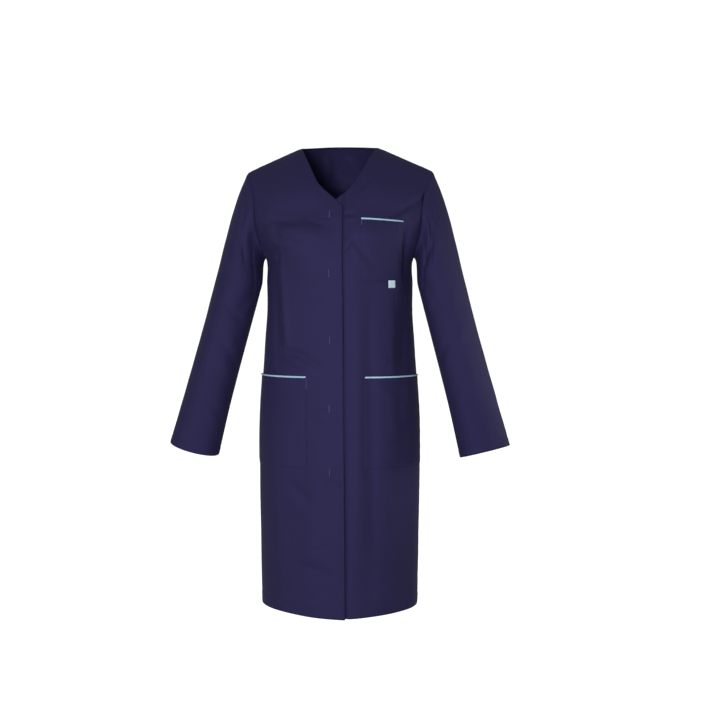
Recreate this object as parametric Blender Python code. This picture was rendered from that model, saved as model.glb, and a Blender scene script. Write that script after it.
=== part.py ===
"""Collarless V-neck work coat, knee length, with long set-in sleeves and three patch pockets.

The coat keeps the hollow form that it has when worn, with no wearer. Its front faces -Y, the
wearer's right is -X, and the origin lies midway between the two side-neck points, where the
wearer's shoulders carry it. All sizes below are in millimetres, and the mesh is in metres.

The body is one form: horizontal sections from the hem to the underarm, which roll over to the
shoulder line above it. The two fronts and the back are pieces of that form, cut along the side
seams, shoulder seams, armholes and neckline. A sleeve runs from the armhole to a ring at the
upper arm, and on as a tube to its cuff.
"""

import math
from collections import namedtuple

import bpy
import numpy as np

MM = 0.001

# Cloth and making
WALL = 1.5
SEAM_GAP = 0.4
LAP_GAP = 0.6
PATCH_GAP = 0.8
PATCH_WALL = 1.2
PIPING_HEIGHT = 3.8
PIPING_WALL = 2.2

# Neck and shoulders
NECK_HALF_WIDTH = 80.0
NECK_CORNER = 10.0
SHOULDER_HALF_WIDTH = 195.0
SHOULDER_SLOPE = 0.45
NAPE_HEIGHT = 9.5
NAPE_RISE = 70.0
NAPE_ROUNDNESS = 1.5
ROLL_REACH = 190.0
ROLL_TURN = 1.8
ROLL_SOFTNESS = 0.6

# Body
UNDERARM_Z = -237.0
HEM_Z = -967.0
HEM_FRONT_DROP = 10.0
FRONT_ROUNDNESS = 2.2
BACK_ROUNDNESS = 2.1
BUST_X = 84.0
BUST_Z = -226.0
BUST_REACH_X = 56.0
BUST_REACH_Z = 62.0
BUST_FULLNESS = 9.0

# Front closing: the wearer's right front laps over the left one
RIGHT_LAP_TOP = 15.0
RIGHT_LAP_HEM = 21.0
LEFT_LAP = 16.0
LAP_STEP_FROM = 22.0
LAP_STEP_TO = 36.0

# Sections of the body form, from the hem up: height, half width, depth in front and behind
SECTION_COLUMNS = ("z", "half_width", "front", "back")
SECTIONS = (
    (-980, 165.5, 119, 122),
    (-850, 168.0, 117, 124),
    (-700, 170.5, 114, 128),
    (-600, 171.0, 112, 130),
    (-530, 168.0, 110, 124),
    (-483, 164.5, 108, 114),
    (-420, 160.0, 106, 101),
    (-350, 155.5, 107, 93),
    (-290, 155.5, 110, 93),
    (-237, 157.5, 114, 99),
    (-205, 175.0, 113, 104),
    (-180, 187.0, 111, 106),
    (-150, 204.0, 109, 108),
    (-100, 223.0, 104, 109),
    (-51, 238.0, 101, 107),
    (20, 250.0, 98, 104),
)

# Armhole seam seen from the front: height and distance from the centre
ARMHOLE_COLUMNS = ("z", "x")
ARMHOLE = (
    (-237, 157.5),
    (-225, 161.0),
    (-205, 167.5),
    (-180, 173.0),
    (-150, 176.0),
    (-120, 178.5),
    (-100, 181.5),
    (-75, 187.5),
    (-50, 195.0),
)

# Front neckline seen from the front: distance from the centre towards its own side, and height
NECKLINE_COLUMNS = ("x", "z")
NECKLINE = (
    (-22, -137),
    (0, -116),
    (14, -104),
    (28, -92),
    (40, -78),
    (52, -55),
    (66, -27),
    (80, 0),
)

# Largest folds of the body: panel side, ends, half width and depth (troughs are negative)
Fold = namedtuple("Fold", ("side", "x0", "z0", "x1", "z1", "reach", "rise"))
FOLD_FADE = 0.25
FRONT = -1
BACK = 1
FOLDS = (
    (FRONT, 192, -104, 158, -142, 15, -5.0),
    (FRONT, 133, -335, 131, -470, 20, -5.5),
    (FRONT, 130, -495, 150, -590, 22, -4.5),
    (FRONT, 36, -470, 38, -850, 26, 3.0),
    (FRONT, 92, -560, 84, -940, 30, -3.5),
    (FRONT, -112, -262, -108, -415, 18, 3.0),
    (FRONT, -96, -440, -128, -456, 18, -3.0),
    (FRONT, -84, -600, -96, -950, 34, -3.0),
    (FRONT, -40, -640, -52, -950, 26, 2.5),
    (BACK, 72, -270, 76, -500, 15, -4.5),
    (BACK, -72, -270, -78, -500, 15, -4.5),
    (BACK, 0, -560, 6, -950, 34, -3.5),
    (BACK, 88, -640, 104, -950, 30, 3.5),
    (BACK, -92, -620, -100, -950, 30, 3.0),
    (BACK, 168, -190, 118, -262, 13, -4.0),
    (BACK, -168, -196, -122, -258, 13, -3.5),
)

# Sleeve: centre line and half widths across and front to back, from the upper arm to the cuff
SLEEVE_COLUMNS = ("along", "x", "y", "z", "across", "deep")
SLEEVE = (
    (0.00, 215.0, -10.0, -283.0, 49.5, 55.0),
    (0.35, 247.0, -20.0, -408.0, 49.0, 52.0),
    (0.70, 280.5, -28.0, -534.0, 50.5, 47.0),
    (1.00, 307.5, -34.0, -640.0, 54.0, 43.0),
)
CUFF_DROPS_FROM = 0.6
RIGHT_CUFF_DROP = 4.0
LEFT_CUFF_DROP = -4.0
CAP_TOP_OUT = 0.53
CAP_TOP_DOWN = 0.85
CAP_FORWARD = 0.15
CAP_LEAVE = 0.8
CAP_ARRIVE = 0.9
UNDERARM_LEAVE = 0.5

# Largest folds of the sleeves: arm side, place round and along at both ends, reach and rise
SleeveFold = namedtuple("SleeveFold", ("arm", "round0", "along0", "round1", "along1", "reach", "rise"))
RIGHT = -1
LEFT = 1
SLEEVE_FOLDS = (
    (LEFT, 0.32, 0.08, 0.16, 0.22, 0.030, -4.0),
    (LEFT, 0.10, 0.30, 0.22, 0.46, 0.040, -3.0),
    (RIGHT, 0.34, 0.06, 0.22, 0.22, 0.030, -3.0),
    (RIGHT, 0.08, 0.34, 0.20, 0.48, 0.040, -3.0),
    (RIGHT, 0.84, 0.36, 0.72, 0.50, 0.040, -3.0),
    (LEFT, 0.86, 0.34, 0.74, 0.50, 0.040, -3.0),
)
CAP_SHARE = 0.36

# Patch pockets, on the wearer's own side: x grows from the centre outwards
CHEST_POCKET_X = (53.0, 139.0)
CHEST_POCKET_TOP = (-159.0, -164.0)
CHEST_POCKET_HEIGHT = 126.0
HIP_POCKET_X = 60.0
HIP_POCKET_TOP = -485.0
HIP_POCKET_HEIGHT = 185.0
TAB_X = (107.5, 120.5)
TAB_Z = (-283.5, -298.5)
TAB_WALL = 1.0

# Divisions
FRONT_COLUMNS_COUNT = 16
NECK_COLUMNS_COUNT = 7
BACK_COLUMNS_COUNT = 12
BACK_NECK_COLUMNS_COUNT = 5
SKIRT_ROWS = 24
SKIRT_EASING = 1.2
CHEST_ROWS = 11
CHEST_EASING = 0.75
CAP_ROWS = 6
TUBE_ROWS = 12
CHEST_POCKET_DIVISIONS = (8, 12)
HIP_POCKET_DIVISIONS = (11, 14)
TAB_DIVISIONS = (3, 3)
PIPING_ROWS = 2
ARMHOLE_STEPS = 120
HAIR = 1e-4
AHEAD = 0.02

# Finishes: colour and roughness
NAVY = ((0.022, 0.020, 0.060, 1.0), 0.85)
SKY_BLUE = ((0.30, 0.53, 0.66, 1.0), 0.7)
PALE_BLUE = ((0.55, 0.70, 0.78, 1.0), 0.8)


def columns(table, names, name):
    """One named column of a table, as an array."""
    return np.array([row[names.index(name)] for row in table], float)


def through(x, knots, values):
    """Smooth curve through a table: cubic pieces whose slopes follow the neighbouring rows."""
    x = np.clip(x, knots[0], knots[-1])
    slopes = np.gradient(values, knots)
    i = np.clip(np.searchsorted(knots, x) - 1, 0, len(knots) - 2)
    step = knots[i + 1] - knots[i]
    t = (x - knots[i]) / step
    rise = values[i] * (1 + 2 * t) * (1 - t) ** 2 + values[i + 1] * (3 - 2 * t) * t**2
    return rise + step * (slopes[i] * t * (1 - t) ** 2 - slopes[i + 1] * (1 - t) * t**2)


def section(z, name):
    """A named size of the body form at height z."""
    knots = columns(SECTIONS, SECTION_COLUMNS, "z")
    return through(z, knots, columns(SECTIONS, SECTION_COLUMNS, name))


def armhole_x(z):
    """Distance of the armhole seam from the centre at height z."""
    knots = columns(ARMHOLE, ARMHOLE_COLUMNS, "z")
    return through(z, knots, columns(ARMHOLE, ARMHOLE_COLUMNS, "x"))


def neckline_z(x):
    """Height of the front neckline at distance x from the centre."""
    knots = columns(NECKLINE, NECKLINE_COLUMNS, "x")
    return through(x, knots, columns(NECKLINE, NECKLINE_COLUMNS, "z"))


def shoulder_z(x):
    """Height of the shoulder line: level across the neck, then falling at the shoulder slope."""
    past = np.abs(x) - NECK_HALF_WIDTH
    eased = (past + np.sqrt(past**2 + NECK_CORNER**2)) / 2
    return SHOULDER_SLOPE * (NECK_CORNER / 2 - eased)


def smooth_step(t):
    """Rises from 0 to 1 while t goes from 0 to 1, level at both ends."""
    t = np.clip(t, 0, 1)
    return t * t * (3 - 2 * t)


def line_fold(u, v, start, end, reach, rise):
    """A soft ridge or trough along a straight line, which fades out past both of its ends."""
    run_u, run_v = end[0] - start[0], end[1] - start[1]
    length = math.hypot(run_u, run_v)
    along = ((u - start[0]) * run_u + (v - start[1]) * run_v) / length**2
    off = ((u - start[0]) * run_v - (v - start[1]) * run_u) / length
    begins = smooth_step((along + FOLD_FADE) / (2 * FOLD_FADE))
    stops = smooth_step((1 + FOLD_FADE - along) / (2 * FOLD_FADE))
    return rise * np.exp(-((off / reach) ** 2)) * begins * stops


def fold_rise(side, x, z):
    """Sum of the folds of one side of the body."""
    total = np.zeros(np.broadcast(x, z).shape)
    for fold in map(Fold._make, FOLDS):
        if fold.side == side:
            start, end = (fold.x0, fold.z0), (fold.x1, fold.z1)
            total = total + line_fold(x, z, start, end, fold.reach, fold.rise)
    return total


def form_depth(side, x, z):
    """Depth of the body form in front or behind, at x across and z up.

    A superellipse section across, which rolls over to nothing at the shoulder line, with the
    bust in front, the rise to the nape behind, and the folds.
    """
    across = np.minimum(np.abs(x) / section(z, "half_width"), 1)
    crest = shoulder_z(x)
    if side == FRONT:
        roundness = FRONT_ROUNDNESS
        depth = section(z, "front")
        bust_x = (np.abs(x) - BUST_X) / BUST_REACH_X
        bust_z = (z - BUST_Z) / BUST_REACH_Z
        depth = depth + BUST_FULLNESS * np.exp(-(bust_x**2) - bust_z**2)
    else:
        roundness = BACK_ROUNDNESS
        depth = section(z, "back")
        inside = np.clip(1 - (x / NECK_HALF_WIDTH) ** 2, 0, 1)
        crest = crest + NAPE_RISE * inside**NAPE_ROUNDNESS
    round_off = (1 - across**roundness) ** (1 / roundness)
    down = np.clip((crest - z) / ROLL_REACH, 0, 1)
    roll = (1 - (1 - down) ** ROLL_TURN) ** ROLL_SOFTNESS
    return (depth + fold_rise(side, x, z)) * round_off * roll


def form_point(side, x, z):
    """Point of the body form, from its place seen from the front."""
    x, z = np.broadcast_arrays(x, z)
    return np.stack([x, side * form_depth(side, x, z), z], axis=-1)


def lap_drop(x):
    """How far the left front lies under the right one, near the closing."""
    near = 1 - smooth_step((x - LAP_STEP_FROM) / (LAP_STEP_TO - LAP_STEP_FROM))
    return (WALL + LAP_GAP) * near


def chest_share(v):
    """Share of the way from the underarm to the top, in closer steps towards both ends."""
    eased = (1 - np.cos(math.pi * v)) / 2
    return v + CHEST_EASING * (eased - v)


def spread(c, v, neck_share, top_share):
    """Share of a panel's width at column c: bunched at the side seam, even along the top."""
    low = np.sin(math.pi / 2 * c) ** (2 / FRONT_ROUNDNESS)
    top = np.interp(c, [0, neck_share, 1], [0, top_share, 1])
    return low + (top - low) * v


def panel_place(c, level, lap, neck_share, side):
    """Place seen from the front of a panel's point, x on the panel's own side.

    c runs from the centre edge (0) to the side seam and armhole (1). level runs from the hem
    (-1) over the underarm (0) to the neckline and shoulder seam (1).
    """
    c, level = np.broadcast_arrays(np.asarray(c, float), np.asarray(level, float))
    v = np.clip(level, 0, 1)
    down = np.clip(-level, 0, 1)
    top_share = (NECK_HALF_WIDTH + lap(1)) / (SHOULDER_HALF_WIDTH + lap(1))
    share = spread(c, chest_share(v), neck_share, top_share)
    top_x = (SHOULDER_HALF_WIDTH + lap(1)) * spread(c, 1, neck_share, top_share) - lap(1)
    if side == FRONT:
        neck_z = neckline_z(top_x)
    else:
        neck_z = NAPE_HEIGHT * (1 - (top_x / NECK_HALF_WIDTH) ** 2)
    top_z = np.where(top_x < NECK_HALF_WIDTH - HAIR, neck_z, shoulder_z(top_x))
    hem_z = HEM_Z - HEM_FRONT_DROP * (1 - smooth_step(share)) * (side == FRONT)
    z = UNDERARM_Z + (top_z - UNDERARM_Z) * chest_share(v) + (hem_z - UNDERARM_Z) * down
    tip_z = shoulder_z(SHOULDER_HALF_WIDTH)
    edge_z = UNDERARM_Z + (tip_z - UNDERARM_Z) * chest_share(v)
    edge = np.where(level > 0, armhole_x(edge_z), section(z, "half_width"))
    overlap = lap(level)
    return (edge + overlap) * share - overlap, z


def right_lap(level):
    """How far the right front reaches past the centre: more at the hem than at the neck."""
    return RIGHT_LAP_TOP + (RIGHT_LAP_HEM - RIGHT_LAP_TOP) * np.clip(-level, 0, 1)


def left_lap(level):
    """How far the left front reaches past the centre, the same all the way down."""
    return LEFT_LAP + 0 * level


def no_lap(level):
    """The back has no edge past its centre."""
    return 0 * level


def front_surface(arm):
    """Surface of one front. arm is RIGHT or LEFT, as the wearer has it."""
    lap = right_lap if arm == RIGHT else left_lap
    neck_share = NECK_COLUMNS_COUNT / FRONT_COLUMNS_COUNT

    def surface(c, level):
        x, z = panel_place(c, level, lap, neck_share, FRONT)
        point = form_point(FRONT, arm * x, z)
        if arm == LEFT:
            point[..., 1] += lap_drop(x)
        return point

    return surface


def back_surface(c, level):
    """Surface of the back, with c from -1 at the wearer's right to 1 at the left."""
    neck_share = BACK_NECK_COLUMNS_COUNT / BACK_COLUMNS_COUNT
    x, z = panel_place(np.abs(c), level, no_lap, neck_share, BACK)
    return form_point(BACK, np.sign(c) * x, z)


def unit(vectors):
    """Vectors of length one."""
    return vectors / np.linalg.norm(vectors, axis=-1, keepdims=True)


def normals(surface, u, v, u_ends, v_ends):
    """Unit normals of a surface, from points a hair to each side along both parameters."""
    u, v = np.broadcast_arrays(np.asarray(u, float), np.asarray(v, float))
    low_u, high_u = np.clip(u - HAIR, *u_ends), np.clip(u + HAIR, *u_ends)
    low_v, high_v = np.clip(v - HAIR, *v_ends), np.clip(v + HAIR, *v_ends)
    along_u = surface(high_u, v) - surface(low_u, v)
    along_v = surface(u, high_v) - surface(u, low_v)
    return unit(np.cross(along_u, along_v))


def armhole_level(round_share):
    """Level of the armhole's point: from the underarm over the front to the tip, and back."""
    return 1 - np.abs(1 - 2 * np.mod(round_share, 1))


def armhole_point(arm, round_share):
    """Point of the armhole seam: round_share 0 at the underarm, 0.5 at the shoulder tip."""
    level = armhole_level(round_share)
    tip_z = shoulder_z(SHOULDER_HALF_WIDTH)
    z = UNDERARM_Z + (tip_z - UNDERARM_Z) * chest_share(level)
    x = arm * armhole_x(z)
    front = form_point(FRONT, x, z)
    back = form_point(BACK, x, z)
    return np.where((np.mod(round_share, 1) < 0.5)[..., None], front, back)


def armhole_turn(arm, round_share):
    """Angle round the sleeve for a point of the armhole, by its share of the seam's length."""
    fine = np.linspace(0, 1, 2 * ARMHOLE_STEPS + 1)
    steps = np.linalg.norm(np.diff(armhole_point(arm, fine), axis=0), axis=1)
    length = np.concatenate([[0], np.cumsum(steps)])
    front = length[ARMHOLE_STEPS]
    behind = length[-1] - front
    turn = math.pi * np.where(fine <= 0.5, length / front, 1 + (length - front) / behind)
    return np.interp(np.mod(round_share, 1), fine, turn)


def sleeve_leave(arm, turn):
    """Direction in which the sleeve leaves the armhole: level at the underarm, down at the tip."""
    up = (1 - np.cos(turn)) / 2
    out = 1 + (CAP_TOP_OUT - 1) * up
    down = CAP_TOP_DOWN * np.sqrt(up)
    return unit(np.stack([arm * out, -CAP_FORWARD * np.sin(turn), -down], axis=-1))


def tube_point(arm, turn, along):
    """Point of the sleeve's tube: an ellipse square to the centre line, at a share of its length."""
    knots = columns(SLEEVE, SLEEVE_COLUMNS, "along")
    x, y, z, across, deep = (
        through(along, knots, columns(SLEEVE, SLEEVE_COLUMNS, name)) for name in SLEEVE_COLUMNS[1:]
    )
    run = columns(SLEEVE, SLEEVE_COLUMNS, "x")[-1] - columns(SLEEVE, SLEEVE_COLUMNS, "x")[0]
    fall = columns(SLEEVE, SLEEVE_COLUMNS, "z")[0] - columns(SLEEVE, SLEEVE_COLUMNS, "z")[-1]
    slant = math.atan2(run, fall)
    inward = across * np.cos(turn)
    forward = deep * np.sin(turn)
    cuff_drop = RIGHT_CUFF_DROP if arm == RIGHT else LEFT_CUFF_DROP
    share = smooth_step((along - CUFF_DROPS_FROM) / (1 - CUFF_DROPS_FROM))
    drop = cuff_drop * np.sin(turn) * share
    place_x = x - inward * math.cos(slant)
    place_z = z - inward * math.sin(slant) - drop
    return np.stack([arm * place_x, y - forward, place_z], axis=-1)


def sleeve_rise(arm, round_share, along):
    """Sum of one sleeve's folds, in shares of the way round and along."""
    total = np.zeros(np.broadcast(round_share, along).shape)
    for fold in map(SleeveFold._make, SLEEVE_FOLDS):
        if fold.arm == arm:
            start, end = (fold.round0, fold.along0), (fold.round1, fold.along1)
            total = total + line_fold(round_share, along, start, end, fold.reach, fold.rise)
    return total


def smooth_sleeve(arm, round_share, along):
    """Sleeve without folds: Hermite curves from the armhole to the upper arm, then the tube."""
    round_share, along = np.broadcast_arrays(round_share, along)
    turn = armhole_turn(arm, round_share)
    start = armhole_point(arm, round_share) + SEAM_GAP * sleeve_leave(arm, turn)
    end = tube_point(arm, turn, np.zeros_like(turn))
    reach = np.linalg.norm(end - start, axis=-1, keepdims=True)
    low = ((1 + np.cos(turn)) / 2)[..., None]
    leave = (CAP_LEAVE + (UNDERARM_LEAVE - CAP_LEAVE) * low) * reach * sleeve_leave(arm, turn)
    ahead = tube_point(arm, turn, np.full_like(turn, AHEAD)) - end
    arrive = CAP_ARRIVE * reach * unit(ahead)
    t = np.clip(along / CAP_SHARE, 0, 1)[..., None]
    cap = start * (1 + 2 * t) * (1 - t) ** 2 + end * (3 - 2 * t) * t**2
    cap = cap + leave * t * (1 - t) ** 2 - arrive * (1 - t) * t**2
    tube = tube_point(arm, turn, np.clip((along - CAP_SHARE) / (1 - CAP_SHARE), 0, 1))
    return np.where((along < CAP_SHARE)[..., None], cap, tube)


def sleeve_surface(arm):
    """Surface of one sleeve, round from the underarm over the front and along to the cuff."""

    def plain(round_share, along):
        return smooth_sleeve(arm, round_share, along)

    def surface(round_share, along):
        out = -arm * normals(plain, round_share, along, (-1, 2), (0, 1))
        rise = sleeve_rise(arm, np.mod(round_share, 1), along)
        return plain(round_share, along) + out * rise[..., None]

    return surface


def seam_miter(arm, side, level):
    """Step from the armhole seam's outer point to its inner one, shared by body and sleeve."""
    level = np.asarray(level, float)
    round_share = level / 2 if side == FRONT else 1 - level / 2
    if side == FRONT:
        body = -arm * normals(front_surface(arm), np.ones_like(level), level, (0, 1), (-1, 1))
    else:
        body = -normals(back_surface, arm * np.ones_like(level), level, (-1, 1), (-1, 1))
    body = body * np.sign(np.sum(body * np.array([arm, side, 1.0]), axis=-1, keepdims=True))
    turn = armhole_turn(arm, round_share)
    inset = np.clip(round_share, HAIR, 1 - HAIR)
    run = armhole_point(arm, inset + HAIR) - armhole_point(arm, inset - HAIR)
    sleeve = -arm * unit(np.cross(run, sleeve_leave(arm, turn)))
    both = body + sleeve
    return WALL * both / (1 + np.sum(body * sleeve, axis=-1, keepdims=True))


def shell(name, outer, inner, material, round_closed=False):
    """Closed wall between an outer and an inner grid of points, with rims along its edges."""
    rows, cols = outer.shape[:2]
    index = np.arange(rows * cols).reshape(rows, cols)
    if round_closed:
        index = np.concatenate([index, index[:, :1]], axis=1)
    a, b, c, d = index[:-1, :-1], index[:-1, 1:], index[1:, 1:], index[1:, :-1]
    outside = np.stack([a, b, c, d], axis=-1).reshape(-1, 4)
    inside = outside[:, ::-1] + rows * cols
    edges = [index[0], index[-1, ::-1]]
    if not round_closed:
        edges += [index[::-1, 0], index[:, -1]]
    rims = [
        np.stack([e[:-1] + rows * cols, e[1:] + rows * cols, e[1:], e[:-1]], axis=-1)
        for e in edges
    ]
    faces = np.concatenate([outside, inside, *rims])
    points = np.concatenate([outer.reshape(-1, 3), inner.reshape(-1, 3)]) * MM
    corners = points[faces]
    volume = np.sum(np.cross(corners[:, 0], corners[:, 1]) * corners[:, 2])
    volume += np.sum(np.cross(corners[:, 0], corners[:, 2]) * corners[:, 3])
    if volume < 0:
        faces = faces[:, ::-1]
    mesh = bpy.data.meshes.new(name)
    mesh.from_pydata(points.tolist(), [], faces.tolist())
    mesh.shade_smooth()
    mesh.materials.append(material)
    piece = bpy.data.objects.new(name, mesh)
    bpy.data.collections["work_coat"].objects.link(piece)
    return piece


def cloth_finish(name, look):
    """Plain matt finish of one cloth, from its colour and roughness."""
    colour, roughness = look
    material = bpy.data.materials.new(name)
    material.use_nodes = True
    shader = material.node_tree.nodes["Principled BSDF"]
    shader.inputs["Base Color"].default_value = colour
    shader.inputs["Roughness"].default_value = roughness
    shader.inputs["Metallic"].default_value = 0.0
    return material


def panel_levels():
    """Levels of a panel's rows, from the hem over the underarm to the top."""
    skirt = -(np.linspace(1, 0, SKIRT_ROWS + 1) ** SKIRT_EASING)
    chest = np.linspace(0, 1, CHEST_ROWS + 1)[1:]
    return np.concatenate([skirt, chest])


def keep_off_seam(points, side):
    """Keeps a panel's points half a seam gap on their own side of the side and shoulder seams."""
    y = points[..., 1]
    if side == FRONT:
        points[..., 1] = np.minimum(y, -SEAM_GAP / 2)
    else:
        points[..., 1] = np.maximum(y, SEAM_GAP / 2)
    return points


def outward(normal, side):
    """Turns a grid of panel normals outwards, judged at a point that faces its own side."""
    middle = normal[normal.shape[0] // 3, normal.shape[1] // 2, 1]
    return normal * np.sign(middle * side)


def build_front(arm, material):
    """One front: a wall along the body form, mitred to the sleeve along the armhole."""
    levels = panel_levels()
    c = np.linspace(0, 1, FRONT_COLUMNS_COUNT + 1)
    c_grid, level_grid = np.meshgrid(c, levels)
    surface = front_surface(arm)
    outer = surface(c_grid, level_grid)
    inward = -outward(normals(surface, c_grid, level_grid, (0, 1), (-1, 1)), FRONT)
    inner = outer + WALL * inward
    on_armhole = levels >= 0
    inner[on_armhole, -1] = outer[on_armhole, -1] - seam_miter(arm, FRONT, levels[on_armhole])
    name = "front_right" if arm == RIGHT else "front_left"
    return shell(name, keep_off_seam(outer, FRONT), keep_off_seam(inner, FRONT), material)


def build_back(material):
    """The back, in one piece from side seam to side seam."""
    levels = panel_levels()
    half = np.linspace(0, 1, BACK_COLUMNS_COUNT + 1)
    c = np.concatenate([-half[:0:-1], half])
    c_grid, level_grid = np.meshgrid(c, levels)
    outer = back_surface(c_grid, level_grid)
    ends = (-1, 1)
    inward = -outward(normals(back_surface, c_grid, level_grid, ends, ends), BACK)
    inner = outer + WALL * inward
    on_armhole = levels >= 0
    for arm, column in ((RIGHT, 0), (LEFT, -1)):
        step = seam_miter(arm, BACK, levels[on_armhole])
        inner[on_armhole, column] = outer[on_armhole, column] - step
    return shell("back", keep_off_seam(outer, BACK), keep_off_seam(inner, BACK), material)


def build_sleeve(arm, material):
    """One sleeve: a tube whose first ring has the armhole's own points."""
    level = np.linspace(0, 1, CHEST_ROWS + 1)
    round_share = np.concatenate([level / 2, 1 - level[-2:0:-1] / 2])
    cap = np.linspace(0, CAP_SHARE, CAP_ROWS + 1)
    tube = np.linspace(CAP_SHARE, 1, TUBE_ROWS + 1)[1:]
    round_grid, along_grid = np.meshgrid(round_share, np.concatenate([cap, tube]))
    surface = sleeve_surface(arm)
    outer = surface(round_grid, along_grid)
    out = -arm * normals(surface, round_grid, along_grid, (-1, 2), (0, 1))
    inner = outer - WALL * out
    front = seam_miter(arm, FRONT, level)
    back = seam_miter(arm, BACK, level)
    inner[0] = outer[0] - np.concatenate([front, back[-2:0:-1]])
    name = "sleeve_right" if arm == RIGHT else "sleeve_left"
    return shell(name, outer, inner, material, round_closed=True)


def patch(name, place, counts, lift, wall, material):
    """A flat piece that lies on a front: its points are the front's, moved out."""
    a, b = np.meshgrid(np.linspace(0, 1, counts[0] + 1), np.linspace(0, 1, counts[1] + 1))

    def surface(a_share, b_share):
        x, z = place(a_share, b_share)
        return form_point(FRONT, x, z)

    out = outward(normals(surface, a, b, (0, 1), (0, 1)), FRONT)
    base = surface(a, b)
    outer = base + (lift + wall) * out
    inner = base + lift * out
    return shell(name, keep_off_seam(outer, FRONT), keep_off_seam(inner, FRONT), material)


def chest_place(above, height):
    """Places of the chest pocket or its piping: x runs level, the opening falls outwards."""

    def place(a, b):
        x = CHEST_POCKET_X[0] + (CHEST_POCKET_X[1] - CHEST_POCKET_X[0]) * a
        top = CHEST_POCKET_TOP[0] + (CHEST_POCKET_TOP[1] - CHEST_POCKET_TOP[0]) * a
        return x, top + above - height * b

    return place


def hip_place(arm, above, height):
    """Places of a hip pocket or its piping: from its inner edge round to the side seam."""

    def place(a, b):
        z = HIP_POCKET_TOP + above - height * b
        width = section(z, "half_width")
        start = np.arcsin((HIP_POCKET_X / width) ** (FRONT_ROUNDNESS / 2))
        angle = start + (math.pi / 2 - start) * a
        return arm * width * np.sin(angle) ** (2 / FRONT_ROUNDNESS), z

    return place


def tab_place(a, b):
    """Place of the small plain tab at the foot of the chest pocket."""
    return TAB_X[0] + (TAB_X[1] - TAB_X[0]) * a, TAB_Z[0] + (TAB_Z[1] - TAB_Z[0]) * b


def build_pockets(cloth, trim, tab):
    """The three patch pockets, the piping along their openings, and the plain tab."""
    above = SEAM_GAP + PIPING_HEIGHT
    chest = chest_place(0, CHEST_POCKET_HEIGHT)
    patch("chest_pocket", chest, CHEST_POCKET_DIVISIONS, PATCH_GAP, PATCH_WALL, cloth)
    edge = chest_place(above, PIPING_HEIGHT)
    divisions = (CHEST_POCKET_DIVISIONS[0], PIPING_ROWS)
    patch("chest_piping", edge, divisions, PATCH_GAP, PIPING_WALL, trim)
    divisions = (HIP_POCKET_DIVISIONS[0], PIPING_ROWS)
    for arm, name in ((RIGHT, "right"), (LEFT, "left")):
        pocket = hip_place(arm, 0, HIP_POCKET_HEIGHT)
        patch("hip_pocket_" + name, pocket, HIP_POCKET_DIVISIONS, PATCH_GAP, PATCH_WALL, cloth)
        edge = hip_place(arm, above, PIPING_HEIGHT)
        patch("hip_piping_" + name, edge, divisions, PATCH_GAP, PIPING_WALL, trim)
    lift = PATCH_GAP + PATCH_WALL + PATCH_GAP
    patch("pocket_tab", tab_place, TAB_DIVISIONS, lift, TAB_WALL, tab)


def clear_scene():
    """Removes what the opened file holds."""
    for thing in list(bpy.data.objects):
        bpy.data.objects.remove(thing)


clear_scene()
coat = bpy.data.collections.new("work_coat")
bpy.context.scene.collection.children.link(coat)
navy_cloth = cloth_finish("navy_cloth", NAVY)
sky_trim = cloth_finish("sky_trim", SKY_BLUE)
pale_tab = cloth_finish("pale_tab", PALE_BLUE)
build_front(RIGHT, navy_cloth)
build_front(LEFT, navy_cloth)
build_back(navy_cloth)
build_sleeve(RIGHT, navy_cloth)
build_sleeve(LEFT, navy_cloth)
build_pockets(navy_cloth, sky_trim, pale_tab)
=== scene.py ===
"""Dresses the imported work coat: cloth shells with their creases, seams, hems, stitches and piping.

Sizes are in millimetres in the coat's own frame: +Z up, the front faces -Y, the wearer's right is
-X, and the origin lies midway between the two side-neck points. Meshes are in metres.
"""

import math
from collections import namedtuple

import bpy
import numpy as np
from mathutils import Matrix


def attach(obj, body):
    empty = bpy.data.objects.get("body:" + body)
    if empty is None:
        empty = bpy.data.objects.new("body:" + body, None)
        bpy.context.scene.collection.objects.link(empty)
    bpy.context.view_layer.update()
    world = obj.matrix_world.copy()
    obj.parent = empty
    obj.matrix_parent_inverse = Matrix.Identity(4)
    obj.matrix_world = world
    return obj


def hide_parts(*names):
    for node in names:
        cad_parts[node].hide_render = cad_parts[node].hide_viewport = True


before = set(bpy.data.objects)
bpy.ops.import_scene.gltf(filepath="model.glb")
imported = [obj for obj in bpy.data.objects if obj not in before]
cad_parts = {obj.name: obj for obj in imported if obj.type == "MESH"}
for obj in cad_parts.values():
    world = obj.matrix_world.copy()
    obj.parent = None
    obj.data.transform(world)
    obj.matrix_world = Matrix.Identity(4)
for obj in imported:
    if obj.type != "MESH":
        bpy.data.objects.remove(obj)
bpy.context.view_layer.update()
MM = 0.001

FRONT, BACK = -1, 1
RIGHT, LEFT = -1, 1
SIDE_NAME = {RIGHT: "right", LEFT: "left"}

# ---------------------------------------------------------------- sizes, as in the solids

# Walls of the solids, and the gaps under the lap and under what is sewn on
WALL = 1.5
LAP_GAP = 0.6
PATCH_GAP = 0.8
# Neck and shoulder line, and how the body rolls over below them
NECK_HALF_WIDTH = 80.0
NECK_CORNER = 10.0
SHOULDER_HALF_WIDTH = 195.0
SHOULDER_SLOPE = 0.45
NAPE_HEIGHT = 9.5
NAPE_RISE = 70.0
NAPE_ROUNDNESS = 1.5
ROLL_REACH = 190.0
ROLL_TURN = 1.8
ROLL_SOFTNESS = 0.6
# Underarm, hem, roundness of the section, and bust
UNDERARM_Z = -237.0
HEM_Z = -967.0
HEM_FRONT_DROP = 10.0
FRONT_ROUNDNESS = 2.2
BACK_ROUNDNESS = 2.1
BUST_X, BUST_Z = 84.0, -226.0
BUST_REACH_X, BUST_REACH_Z = 56.0, 62.0
BUST_FULLNESS = 9.0
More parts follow.
